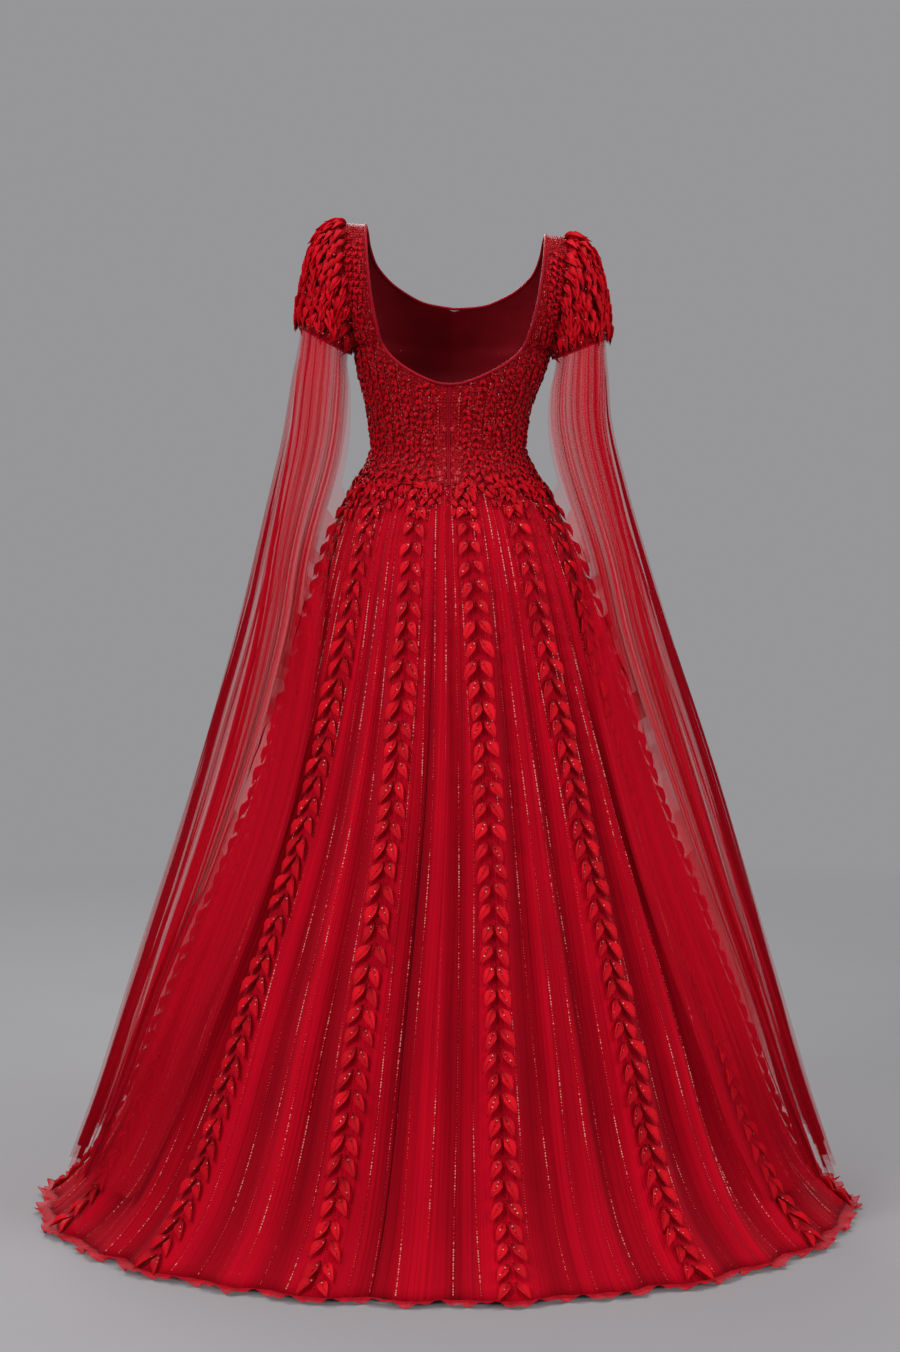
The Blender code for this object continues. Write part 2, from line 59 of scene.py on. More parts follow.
# Skirt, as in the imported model
SkirtRow = namedtuple("SkirtRow", "height half_width half_depth fold_depth")
SKIRT_ROWS = (
    SkirtRow(1.1044, 0.1450, 0.1150, 0.000),
    SkirtRow(1.0400, 0.1790, 0.1500, 0.003),
    SkirtRow(0.9600, 0.2080, 0.1880, 0.006),
    SkirtRow(0.8500, 0.2400, 0.2280, 0.010),
    SkirtRow(0.7200, 0.2810, 0.2740, 0.014),
    SkirtRow(0.5800, 0.3310, 0.3280, 0.018),
    SkirtRow(0.4400, 0.3880, 0.3860, 0.022),
    SkirtRow(0.3000, 0.4460, 0.4440, 0.024),
    SkirtRow(0.1700, 0.4970, 0.4960, 0.022),
    SkirtRow(0.0800, 0.5450, 0.5440, 0.018),
    SkirtRow(0.0300, 0.5880, 0.5880, 0.013),
    SkirtRow(0.0070, 0.6160, 0.6160, 0.010),
)
FOLD_ACROSS = (0.00, 0.24, 0.42, 0.58, 0.77, 1.00)
FOLD_INSET = (0.00, 1.00, 0.25, 0.10, 0.90, 0.00)
SEAM_ACROSS = 0.24
VINES = 14
VINE_HALF_FACET = 0.022
FIRST_VINE_TURN = math.radians(8.6)
VINE_SPACING = 2 * math.pi / VINES
FOLD_UNEVENNESS = 0.3
FOLD_UNEVENNESS_TURN = 2.4

SkirtPanel = namedtuple("SkirtPanel", "node first_vine vines columns flat area")
SKIRT_PANELS = (
    SkirtPanel("skirt_back_right", 0, 4, 176, (1.30, 1.32), 0.96),
    SkirtPanel("skirt_front_right", 4, 3, 132, (0.98, 1.32), 0.73),
    SkirtPanel("skirt_front_left", 7, 3, 132, (0.98, 1.32), 0.73),
    SkirtPanel("skirt_back_left", 10, 4, 176, (1.30, 1.32), 0.96),
)
SKIRT_PANEL_ROWS = 92

# Bodice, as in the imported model; the neck edges are given as (across, height) down the neckline's curve
BodiceRow = namedtuple("BodiceRow", "height side back_depth front_depth")
BODICE_ROWS = (
    BodiceRow(1.1056, 0.1445, 0.1145, 0.1150),
    BodiceRow(1.1350, 0.1280, 0.1000, 0.1010),
    BodiceRow(1.1690, 0.1155, 0.0900, 0.0920),
    BodiceRow(1.2000, 0.1180, 0.0905, 0.0980),
    BodiceRow(1.2300, 0.1230, 0.0930, 0.1090),
    BodiceRow(1.2580, 0.1315, 0.0955, 0.1220),
    BodiceRow(1.2920, 0.1420, 0.0990, 0.1320),
    BodiceRow(1.3180, 0.1475, 0.1020, 0.1310),
    BodiceRow(1.3450, 0.1500, 0.1030, 0.1240),
    BodiceRow(1.3850, 0.1555, 0.1000, 0.1110),
    BodiceRow(1.4080, 0.1585, 0.0950, 0.1010),
    BodiceRow(1.4400, 0.1615, 0.0820, 0.0840),
    BodiceRow(1.4700, 0.1630, 0.0600, 0.0600),
    BodiceRow(1.4900, 0.1630, 0.0310, 0.0310),
    BodiceRow(1.4970, 0.1630, 0.0050, 0.0050),
    BodiceRow(1.4973, 0.1630, 0.0006, 0.0006),
)
BACK_NECK = (
    (0.0000, 1.2575), (0.0140, 1.2586), (0.0320, 1.2640), (0.0540, 1.2740), (0.0830, 1.2920),
    (0.1070, 1.3180), (0.1160, 1.3450), (0.1250, 1.3850), (0.1285, 1.4080), (0.1325, 1.4400),
    (0.1350, 1.4700), (0.1370, 1.4973),
)
FRONT_NECK = (
    (0.0000, 1.3850), (0.0400, 1.3895), (0.0840, 1.4080), (0.1200, 1.4400), (0.1320, 1.4700),
    (0.1350, 1.4900), (0.1370, 1.4973),
)
ZIP_HALF_WIDTH = 0.0030
BACK_NECK_LOW = 1.2575
FRONT_NECK_LOW = 1.3850
UNDERARM_HEIGHT = 1.3180
SHOULDER_TOP = 1.4975
ARMHOLE_HALF_DEPTH = 0.055
ARMHOLE_MIDDLE = (UNDERARM_HEIGHT + SHOULDER_TOP) / 2
ARMHOLE_REACH = (SHOULDER_TOP - UNDERARM_HEIGHT) / 2

# Cap sleeve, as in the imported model
CUFF_CENTRE_OUT = 0.1945
CUFF_HALF_WIDTH = 0.0415
CUFF_HALF_DEPTH = 0.0525
CUFF_HEIGHT = 1.3220
CUFF_RISE_OUTWARD = 0.0185
CAP_BULGE_OUT = 0.024
CAP_BULGE_UP = 0.080
CAP_MIDDLE = 1.35

# Sleeve drape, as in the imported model
DrapeRow = namedtuple(
    "DrapeRow", "height outer half_width half_depth centre_y back_turn front_turn gather tilt overlap"
)
DRAPE_ROWS = (
    DrapeRow(1.3260, 0.2343, 0.0399, 0.0513, 0.000, 24, 318, 0.0000, 1.0, 0.000),
    DrapeRow(1.3080, 0.2344, 0.0399, 0.0514, 0.000, 24, 318, 0.0002, 1.0, 0.000),
    DrapeRow(1.2700, 0.2400, 0.0460, 0.0570, 0.000, 27, 314, 0.0025, 0.6, 0.000),
    DrapeRow(1.2000, 0.2490, 0.0530, 0.0670, -0.002, 32, 306, 0.0040, 0.2, 0.000),
    DrapeRow(1.1100, 0.2700, 0.0600, 0.0820, -0.007, 42, 298, 0.0055, 0.0, 0.000),
    DrapeRow(1.0100, 0.2960, 0.0620, 0.1080, -0.015, 55, 290, 0.0065, 0.0, 0.010),
    DrapeRow(0.8800, 0.3320, 0.0680, 0.1430, -0.025, 66, 283, 0.0075, 0.0, 0.045),
    DrapeRow(0.7200, 0.3820, 0.0730, 0.1820, -0.037, 77, 276, 0.0085, 0.0, 0.080),
    DrapeRow(0.5400, 0.4360, 0.0690, 0.2280, -0.047, 84, 271, 0.0095, 0.0, 0.105),
    DrapeRow(0.3500, 0.4930, 0.0550, 0.2610, -0.054, 88, 269, 0.0105, 0.0, 0.120),
    DrapeRow(0.1850, 0.5420, 0.0440, 0.2780, -0.058, 90, 268, 0.0115, 0.0, 0.125),
    DrapeRow(0.0750, 0.5800, 0.0340, 0.2860, -0.060, 90, 268, 0.0120, 0.0, 0.130),
)
DRAPE_SHIFT = -0.0065
OVERLAP_LIFT = 0.014
OVERLAP_SETTLES = 0.6

# How the stance shifts the gown sideways, and the slope of the shoulders
StanceRow = namedtuple("StanceRow", "height sway")
STANCE_ROWS = (
    StanceRow(0.00, 0.000),
    StanceRow(0.30, -0.006),
    StanceRow(0.65, -0.013),
    StanceRow(0.90, -0.009),
    StanceRow(1.10, -0.003),
    StanceRow(1.20, -0.002),
    StanceRow(1.35, -0.010),
    StanceRow(1.55, -0.014),
)
SHOULDER_SLOPE = 0.06
SLOPE_FROM_HEIGHT = 1.20
SLOPE_FULL_HEIGHT = 1.45

# Where the photograph was taken from
CAMERA_PLACE = (-0.0046, 4.4, -0.44)
CAMERA_PITCH = 3.06
CAMERA_LENS = 76.15


# Shapes of the cloth: every place function takes and gives numpy arrays


def smooth_profile(places, values):
    """A smooth curve through a table's values that never swings past them."""
    order = np.argsort(places)
    places = np.array(places, float)[order]
    values = np.array(values, float)[order]
    step = np.diff(places)
    slope = np.diff(values) / step
    total = slope[:-1] + slope[1:]
    product = slope[:-1] * slope[1:]
    inner = np.where(product > 0, 2 * product / np.where(product > 0, total, 1), 0)
    tangent = np.concatenate(([slope[0]], inner, [slope[-1]]))

    def curve(at):
        at = np.clip(at, places[0], places[-1])
        index = np.clip(np.searchsorted(places, at) - 1, 0, len(step) - 1)
        share = (at - places[index]) / step[index]
        rise = share * share * (3 - 2 * share)
        start = share * (1 - share) ** 2 * tangent[index]
        end = share * share * (share - 1) * tangent[index + 1]
        return values[index] + rise * (values[index + 1] - values[index]) + step[index] * (start + end)

    return curve


def table_profiles(rows):
    """A smooth curve over height for each column of a table."""
    heights = [row.height for row in rows]
    return {
        column: smooth_profile(heights, [getattr(row, column) for row in rows])
        for column in rows[0]._fields[1:]
    }


SKIRT = table_profiles(SKIRT_ROWS)
BODICE = table_profiles(BODICE_ROWS)
DRAPE = table_profiles(DRAPE_ROWS)
STANCE = table_profiles(STANCE_ROWS)
FOLD = smooth_profile(FOLD_ACROSS, FOLD_INSET)


def eased(share):
    """The share from 0 to 1, with a slow start and end."""
    share = np.clip(share, 0.0, 1.0)
    return share * share * (3 - 2 * share)


def posed(x, y, height):
    """Places after the stance, as rows of x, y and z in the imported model's frame."""
    slope = SHOULDER_SLOPE * eased((height - SLOPE_FROM_HEIGHT) / (SLOPE_FULL_HEIGHT - SLOPE_FROM_HEIGHT))
    x, y, height, slope, sway = np.broadcast_arrays(x, y, height, slope, STANCE["sway"](height))
    return np.stack((x + sway, y, height + slope * x - SHOULDER_HEIGHT), axis=-1)


def wander(turn, seed, waves=(3, 7, 13)):
    """A smooth uneven value from -1 to 1 that comes back to its start after a full turn."""
    steps = np.random.default_rng(seed).uniform(0, 2 * math.pi, len(waves))
    return sum(np.sin(wave * turn + step) for wave, step in zip(waves, steps)) / len(waves)


def skirt_radius(height):
    """The skirt's mean radius at this height."""
    return (SKIRT["half_width"](height) + SKIRT["half_depth"](height)) / 2


def between_vines(sector, height):
    """How far across the tulle between two vines, from 0 to 1."""
    vine_share = VINE_HALF_FACET / skirt_radius(height) / VINE_SPACING
    return np.clip((sector - np.floor(sector) - vine_share) / (1 - 2 * vine_share), 0, 1)


def skirt_place(sector, height, lift=0.0, fine=1.0):
    """Places on the skirt, this far out from it. Sector counts vines round from the centre back.

    Fine is the share that the small gathers on the long folds have.
    """
    width = SKIRT["half_width"](height)
    depth = SKIRT["half_depth"](height)
    vine = np.floor(sector)
    across = between_vines(sector, height)
    uneven = 1 + FOLD_UNEVENNESS * np.sin(FOLD_UNEVENNESS_TURN * np.mod(vine, VINES) + 0.7)
    inset = FOLD(across) * SKIRT["fold_depth"](height) * uneven
    turn = FIRST_VINE_TURN + VINE_SPACING * sector
    edge = np.sin(math.pi * across) ** 0.5
    gathers = 0.5 + 0.5 * np.sin(16 * across + 2.3 * vine + 1.4 * wander(turn, 5, (3, 5, 9)))
    crinkle = 0.5 + 0.5 * np.sin(43 * across + 4.1 * vine + 2.1 * np.sin(5 * height + vine))
    spread = np.clip((1.10 - height) / 0.9, 0, 1)
    inset = inset + fine * edge * spread * (0.0062 * gathers + 0.0030 * crinkle) - lift
    return posed(-(width - inset) * np.sin(turn), (depth - inset) * np.cos(turn), height)


def slant_heights(count):
    """Heights from the waist to the hem at even steps along the skirt's slope."""
    heights = np.linspace(SKIRT_ROWS[0].height, SKIRT_ROWS[-1].height, 400)
    run = np.hypot(np.diff(heights), np.diff(SKIRT["half_width"](heights)))
    along = np.concatenate(([0], np.cumsum(run)))
    return np.interp(np.linspace(0, along[-1], count), along, heights)


def seam_share(height):
    """How far after a vine, as a share of a sector, the skirt's seams lie."""
    vine_share = VINE_HALF_FACET / skirt_radius(height) / VINE_SPACING
    return vine_share + SEAM_ACROSS * (1 - 2 * vine_share)


def armhole_depth(height):
    """Half the armhole's width from front to back."""
    share = (height - ARMHOLE_MIDDLE) / ARMHOLE_REACH
    return ARMHOLE_HALF_DEPTH * np.sqrt(np.clip(1 - share**2, 0, 1))


def bodice_place(across, height, side, facing, lift=0.0):
    """Places on the bodice: side is +1 for the wearer's left, facing is +1 for the back."""
    edge = BODICE["side"](height)
    depth = BODICE["back_depth" if facing > 0 else "front_depth"](height)
    edge_depth = np.minimum(armhole_depth(height), 0.92 * depth)
    share = np.clip(across / edge, 0, 1)
    y = edge_depth + (depth - edge_depth) * np.sqrt(1 - share * share)
    turn_out = share * share
    return posed(side * (across + lift * turn_out), facing * (y + lift * (1 - turn_out)), height)


def neck_edge(points, lowest, closed):
    """The distance from the centre to the neckline at each height, and closed below its lowest place."""
    across = np.linspace(0, points[-1][0], 400)
    heights = smooth_profile([place[0] for place in points], [place[1] for place in points])(across)

    def edge(height):
        return np.where(height < lowest, closed, np.maximum(closed, np.interp(height, heights, across)))

    return edge


back_neck = neck_edge(BACK_NECK, BACK_NECK_LOW, ZIP_HALF_WIDTH + 0.0004)
front_neck = neck_edge(FRONT_NECK, FRONT_NECK_LOW, 0.0)


def across_at(height, neck, share):
    """Distances from the centre at this share of the way from the neckline to the side."""
    edge = BODICE["side"](height)
    start = np.arcsin(np.clip(neck / edge, 0, 1))
    return edge * np.sin(start + share * (math.pi / 2 - start))


def cap_place(turn, down, side, lift=0.0):
    """Places on a cap sleeve: turn goes round the arm from the underarm over the back, down is 0 to 1."""
    rise = (1 - np.cos(turn)) / 2
    height = ARMHOLE_MIDDLE - ARMHOLE_REACH * np.cos(turn)
    beside = BODICE["side"](height) + 0.0009 + 0.0024 * (1 - rise) ** 2
    start = (beside, ARMHOLE_HALF_DEPTH * np.sin(turn), height)
    end = (
        CUFF_CENTRE_OUT - CUFF_HALF_WIDTH * np.cos(turn),
        CUFF_HALF_DEPTH * np.sin(turn),
        CUFF_HEIGHT - CUFF_RISE_OUTWARD * np.cos(turn),
    )
    bulge = (CAP_BULGE_OUT * rise, 0, CAP_BULGE_UP * rise)
    x, y, z = (
        a * (1 - down) ** 2 + ((a + b) / 2 + c) * 2 * down * (1 - down) + b * down * down
        for a, b, c in zip(start, end, bulge)
    )
    return posed(side * (x - lift * np.cos(turn)), y + lift * np.sin(turn), z)


def drape_place(share, height, side, inset=0.0):
    """Places on a sleeve drape: share goes from its back edge, over the skirt and round to its front edge."""
    row = {column: curve(height) for column, curve in DRAPE.items()}
    sweep = np.radians(row["front_turn"] - row["back_turn"])
    free = sweep * np.hypot(row["half_width"], row["half_depth"]) / math.sqrt(2)
    over = row["overlap"] / (row["overlap"] + free)
    gone = np.where(share < over, 1 - share / np.maximum(over, 1e-6), 0)
    round_arm = np.clip((share - over) / (1 - over), 0, 1)
    turn = np.radians(row["back_turn"]) + round_arm * sweep
    loose = np.clip((1.30 - height) / 0.5, 0, 1)
    folds = 0.75 * np.sin(75.4 * share + 1.2 * np.sin(2.2 * height) + side) * row["gather"]
    folds = folds + 0.0030 * loose * np.sin(151 * share + 2.0 * np.sin(3.1 * height + side))
    folds = folds + 0.0016 * loose * np.sin(263 * share + 2.6 * side)
    bow = np.where(gone > 0, 0, folds - inset)
    x = row["outer"] - row["half_width"] - (row["half_width"] + bow) * np.cos(turn)
    y = row["centre_y"] + (row["half_depth"] + bow) * np.sin(turn)
    z = height - row["tilt"] * CUFF_RISE_OUTWARD * np.cos(turn)
    x = side * x + DRAPE_SHIFT * (1 - eased(z))
    reach = np.hypot(x, y)
    bearing = np.arctan2(x, y) - side * gone * row["overlap"] / reach
    settled = OVERLAP_LIFT + 1 / np.hypot(
        np.sin(bearing) / SKIRT["half_width"](height), np.cos(bearing) / SKIRT["half_depth"](height)
    )
    rest = eased(gone / OVERLAP_SETTLES)
    laid = reach * (1 - rest) + settled * rest + (folds - inset) * (1 - 0.6 * rest) * (gone > 0)
    laid = np.where(gone > 0, np.maximum(laid, settled - 0.008), reach)
    return posed(laid * np.sin(bearing), laid * np.cos(bearing), z)


# Meshes


def placed_grid(name, across, down, place, size, joined=False, mark=None):
    """A bmesh grid moved onto place(u, v), with u and v from 0 to 1 and a UV map of the cloth in metres.

    A joined one closes on itself where u comes round. mark(u, v), if given, is kept at each vertex as the
    attribute mark.
    """
    shape = bmesh.new()
    shape.loops.layers.uv.new("cloth")
    bmesh.ops.create_grid(shape, x_segments=across, y_segments=down, size=1, calc_uvs=True)
    mesh = bpy.data.meshes.new(name)
    shape.to_mesh(mesh)
    shape.free()
    flat = np.empty(len(mesh.vertices) * 3)
    mesh.vertices.foreach_get("co", flat)
    flat = flat.reshape(-1, 3)
    u = (flat[:, 0] + 1) / 2
    v = (1 - flat[:, 1]) / 2
    places = place(np.where(u > 0.9999, 0.0, u) if joined else u, v)
    mesh.vertices.foreach_set("co", places.ravel())
    uvs = np.empty(len(mesh.loops) * 2)
    mesh.uv_layers[0].data.foreach_get("uv", uvs)
    uvs = uvs.reshape(-1, 2)
    uvs = np.stack((uvs[:, 0] * size[0], (1 - uvs[:, 1]) * size[1]), axis=-1)
    mesh.uv_layers[0].data.foreach_set("uv", uvs.ravel())
    if mark:
        values = np.broadcast_to(mark(u, v), u.shape)
        mesh.attributes.new("mark", "FLOAT", "POINT").data.foreach_set("value", np.ascontiguousarray(values))
    if joined:
        merge(mesh)
    mesh.update()
    return mesh


def merge(mesh, *others):
    """Joins the other meshes onto this one and closes the edges that meet."""
    shape = bmesh.new()
    for part in (mesh, *others):
        shape.from_mesh(part)
    bmesh.ops.remove_doubles(shape, verts=shape.verts, dist=1e-5)
    bmesh.ops.recalc_face_normals(shape, faces=shape.faces)
    shape.to_mesh(mesh)
    shape.free()
    for part in others:
        bpy.data.meshes.remove(part)


def face_out(mesh, outward):
    """Turns the faces round where most of them point against the outward direction at their centre."""
    mesh.update()
    centres = np.empty(len(mesh.polygons) * 3)
    normals = np.empty(len(mesh.polygons) * 3)
    mesh.polygons.foreach_get("center", centres)
    mesh.polygons.foreach_get("normal", normals)
    if (outward(centres.reshape(-1, 3)) * normals.reshape(-1, 3)).sum() < 0:
        mesh.flip_normals()


def from_axis(places):
    """The direction out from the gown's upright axis."""
    return places * (1, 1, 0)


def upwards(places):
    """The direction up, at every place."""
    return np.broadcast_to((0.0, 0.0, 1.0), places.shape)


def from_arm(side):
    """The direction out from the middle of a cap sleeve."""
    return lambda places: places - (side * CUFF_CENTRE_OUT, 0, CAP_MIDDLE - SHOULDER_HEIGHT)


def piece_of(mesh, finish, replaces=(), smooth=True):
    """An object of this mesh that rides on the gown."""
    mesh.materials.append(finish)
    if smooth:
        mesh.shade_smooth()
    piece = bpy.data.objects.new(mesh.name, mesh)
    bpy.context.scene.collection.objects.link(piece)
    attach(piece, "root")
    if replaces:
        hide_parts(*replaces)
    return piece


def thicken(piece, thickness):
    """Gives an open sheet its cloth thickness, inwards."""
    solidify = piece.modifiers.new("cloth_thickness", "SOLIDIFY")
    solidify.thickness = thickness
    solidify.offset = -1
    return piece


def strewn(name, pattern, places, sideways, along, outward, tints):
    """One mesh of many copies of a small shape, whose x, y and z go sideways, along and outward.

    Each copy has its own value in the attribute tint. The attributes tipward and aside say how far along the
    shape and how far to its side each corner is.
    """
    corners = np.array([vert.co for vert in pattern.verts])
    pattern.verts.index_update()
    faces = [np.array([vert.index for vert in face.verts]) for face in pattern.faces]
    copies = len(places)
    every = places[:, None, :] + (
        corners[None, :, 0, None] * sideways[:, None, :]
        + corners[None, :, 1, None] * along[:, None, :]
        + corners[None, :, 2, None] * outward[:, None, :]
    )
    shift = np.arange(copies) * len(corners)
    loops = np.concatenate([(face[None, :] + shift[:, None]).ravel() for face in faces])
    sizes = np.concatenate([np.full(copies, len(face)) for face in faces])
    mesh = bpy.data.meshes.new(name)
    mesh.vertices.add(copies * len(corners))
    mesh.vertices.foreach_set("co", every.ravel())
    mesh.loops.add(len(loops))
    mesh.loops.foreach_set("vertex_index", loops.astype(np.int32))
    mesh.polygons.add(len(sizes))
    mesh.polygons.foreach_set("loop_start", np.concatenate(([0], np.cumsum(sizes)[:-1])).astype(np.int32))
    values = {
        "tint": np.repeat(tints, len(corners)),
        "tipward": np.tile(corners[:, 1] - corners[:, 1].min(), copies) / max(np.ptp(corners[:, 1]), 1e-6),
        "aside": np.tile(corners[:, 0], copies) / max(abs(corners[:, 0]).max(), 1e-6),
    }
    for word, value in values.items():
        mesh.attributes.new(word, "FLOAT", "POINT").data.foreach_set("value", value)
    mesh.update(calc_edges=True)
    mesh.validate()
    pattern.free()
    return mesh


# Steps of sector and height, and of distance and height, that the directions on a surface are taken from
SKIRT_REACH = (0.01, -0.004)
BODICE_REACH = (-0.002, -0.003)


def on_skirt(lift):
    """The skirt's surface this far out from the tulle."""
    return lambda sector, height: skirt_place(sector, height, lift=lift)


def unit(vectors):
    """The same directions with a length of one."""
    return vectors / np.maximum(np.linalg.norm(vectors, axis=-1, keepdims=True), 1e-9)


def frames_on(place, a, b, reach, away=from_axis):
    """At each (a, b) of a surface: its place, and the unit directions sideways, along b and outwards."""
    here = place(a, b)
    along = unit(place(a, b + reach[1]) - here)
    outward = unit(np.cross(place(a + reach[0], b) - here, along))
    inwards = (outward * away(here)).sum(-1, keepdims=True) < 0
    outward = np.where(inwards, -outward, outward)
    return here, np.cross(along, outward), along, outward


def turned(spots, turn):
    """The same spots with their beads turned on the cloth."""
    place, sideways, along, outward = spots
    first = np.cos(turn)[:, None] * sideways + np.sin(turn)[:, None] * along
    return place, first, np.cross(outward, first), outward


def gem_pattern():
    """A small cut bead of eight faces, one metre across, pointed outwards and inwards."""
    shape = bmesh.new()
    bmesh.ops.create_uvsphere(shape, u_segments=4, v_segments=2, radius=0.5)
    return shape


def leaf_pattern(fullness, point, cup, curl, thickness, rows=5):
    """A pointed leaf one metre long and about one wide, folded along its midrib, with its tip curled out."""
    shape = bmesh.new()
    bmesh.ops.create_grid(shape, x_segments=2, y_segments=rows, size=1)
    for vert in shape.verts:
        side = vert.co.x
        along = (vert.co.y + 1) / 2
        half = 0.5 * math.sin(math.pi * along**fullness) ** point if 0.001 < along < 0.999 else 0.0
        vert.co = (side * half, along, cup * abs(side) * half * 2 + curl * along**2)
    bmesh.ops.remove_doubles(shape, verts=shape.verts, dist=1e-4)
    bmesh.ops.recalc_face_normals(shape, faces=shape.faces)
    if sum(face.normal.z for face in shape.faces) < 0:
        bmesh.ops.reverse_faces(shape, faces=shape.faces)
    bmesh.ops.solidify(shape, geom=shape.faces[:], thickness=thickness)
    return shape


def sewn_leaves(name, spots, heading, length, width, lean, chance, pattern):
    """Leaves sewn on at their roots: heading turns them sideways from the way down, lean lifts their tips.

    Gives the mesh, and the direction and the outward direction of each leaf.
    """
    place, sideways, along, outward = spots
    forward = np.cos(heading)[:, None] * along + np.sin(heading)[:, None] * sideways
    aside = unit(np.cross(forward, outward))
    forward = unit(forward + lean[:, None] * outward)
    raised = np.cross(aside, forward)
    tints = chance.uniform(0, 1, len(place))
    axes = (aside * width[:, None], forward * length[:, None], raised * length[:, None])
    return strewn(name, pattern, place, *axes, tints), forward, raised


def sewn_sprigs(name, spots, heading, length, slenderness, lean, chance):
    """Small leaves of the bodice and the waist."""
    pattern = leaf_pattern(0.88, 1.25, 0.2, 0.05, 0.03, rows=3)
    return sewn_leaves(name, spots, heading, length, length * slenderness, lean, chance, pattern)[0]


def sewn_beads(name, spots, width, length, tints, lift=0.0):
    """Cut beads at these spots, pointed outwards."""
    place, sideways, along, outward = spots
    return strewn(
        name,
        gem_pattern(),
        place + lift * outward,
        sideways * width[:, None],
        along * length[:, None],
        outward * width[:, None],
        tints,
    )


# Shader maths


class Wire:
    """One output socket; Python's operators on it add Math nodes."""

    def __init__(self, finish, socket):
        self.finish = finish
        self.socket = socket

    def math(self, operation, first, second=None):
        values = {0: first} if second is None else {0: first, 1: second}
        return self.finish.node("ShaderNodeMath", values, operation=operation)

    def __add__(self, other):
        return self.math("ADD", self, other)

    __radd__ = __add__

    def __mul__(self, other):
        return self.math("MULTIPLY", self, other)

    __rmul__ = __mul__

    def __sub__(self, other):
        return self.math("SUBTRACT", self, other)

    def __rsub__(self, other):
        return self.math("SUBTRACT", other, self)

    def magnitude(self):
        return self.math("ABSOLUTE", self)

    def clipped(self, low, high):
        """The share of the way from low to high, held between 0 and 1."""
        return self.finish.node("ShaderNodeMapRange", {0: self, 1: low, 2: high})


class Cloth:
    """A material and the few calls that its nodes are made with."""

    def __init__(self, name, **constants):
        self.material = bpy.data.materials.new(name)
        self.material.use_nodes = True
        self.nodes = self.material.node_tree.nodes
        self.links = self.material.node_tree.links
        self.shader = self.nodes["Principled BSDF"]
        for socket, value in constants.items():
            self.shader.inputs[socket.replace("_", " ")].default_value = value

    def feed(self, node, values):
        for socket, value in values.items():
            if isinstance(value, Wire):
                self.links.new(value.socket, node.inputs[socket])
            else:
                node.inputs[socket].default_value = value

    def node(self, kind, values=None, output=0, **settings):
        """A node of this type, with its settings first and then its sockets' values or links."""
        node = self.nodes.new(kind)
        for name, value in settings.items():
            setattr(node, name, value)
        self.feed(node, values or {})
        return Wire(self, node.outputs[output])

    def shade(self, **wires):
        """Feeds the surface's own sockets."""
        self.feed(self.shader, {socket.replace("_", " "): wire for socket, wire in wires.items()})
        return self.material

    def pattern_place(self, scale, source="UV"):
        """Coordinates in metres times a scale in each direction."""
        where = self.node("ShaderNodeTexCoord", output=source)
        return self.node("ShaderNodeMapping", {"Vector": where, "Scale": scale})

    def noise(self, scale, detail=2.0, source="UV"):
        values = {"Vector": self.pattern_place(scale, source), "Scale": 1.0, "Detail": detail}
        return self.node("ShaderNodeTexNoise", values)

    def mark(self, name):
        return self.node("ShaderNodeAttribute", output="Fac", attribute_name=name)

    def blend(self, share, first, second):
        """A colour between two."""
        node = self.nodes.new("ShaderNodeMix")
        node.data_type = "RGBA"
        self.feed(node, {"Factor": share, 6: first, 7: second})
        return Wire(self, node.outputs[2])

    def bump(self, height, distance, strength=1.0, normal=None):
        values = {"Height": height, "Distance": distance, "Strength": strength}
        if normal:
            values["Normal"] = normal
        return self.node("ShaderNodeBump", values)


def tone(colour, share):
    """A lighter or darker tone of a colour."""
    return (colour[0] * share, colour[1] * share, colour[2] * share, 1.0)


MATT = {"Specular_IOR_Level": 0.06, "Specular_Tint": (1.0, 0.3, 0.35, 1)}
GLOSSY = {"Specular_IOR_Level": 0.35, "Specular_Tint": (1.0, 0.12, 0.14, 1)}


def skirt_cloth(colours):
    """Layered tulle: painted shade in its folds and fine creases, finely streaked, and thinner at the hem."""
    cloth = Cloth("skirt_tulle", Sheen_Weight=0.12, Sheen_Tint=(1.0, 0.1, 0.16, 1), **MATT)
    # Painted shade in the troughs of the long folds, standing in part also for the deeper red of the tulle
    # layered there
    trough = cloth.mark("mark")
    streak = cloth.noise((150.0, 1.6, 1.0), 3.0)
    broad = cloth.noise((34.0, 0.7, 1.0), 2.0)
    mottle = cloth.noise((9.0, 9.0, 9.0), 3.0, "Object")
    light = (streak * 0.5 + broad * 0.6 + mottle * 0.3).clipped(0.45, 0.95)
    # Thin dark lines of painted shade along fine creases of the tulle
    crease = (cloth.noise((52.0, 0.35, 1.0), 1.0) - 0.5).magnitude().clipped(0.0, 0.035)
    depth = (1 - trough * 0.72) * (0.45 + light * 0.75) * (0.62 + crease * 0.38)
    colour = cloth.blend(depth, tone(colours.skirt, 0.30), tone(colours.skirt, 1.25))
    holes = cloth.pattern_place((700.0, 700.0, 1.0))
    net = cloth.node("ShaderNodeTexVoronoi", {"Vector": holes, "Scale": 1.0})
    fine = cloth.bump(net, 0.0003, 0.35)
    down = cloth.node("ShaderNodeSeparateXYZ", {0: cloth.node("ShaderNodeTexCoord", output="UV")}, output=1)
    return cloth.shade(
        Base_Color=colour,
        Alpha=1 - down.clipped(1.296, 1.322) * (0.05 + 0.40 * streak),
        Roughness=0.52 + streak * 0.2,
        Normal=cloth.bump(streak * 0.7 + broad * 0.6, 0.006, 0.9, fine),
    )


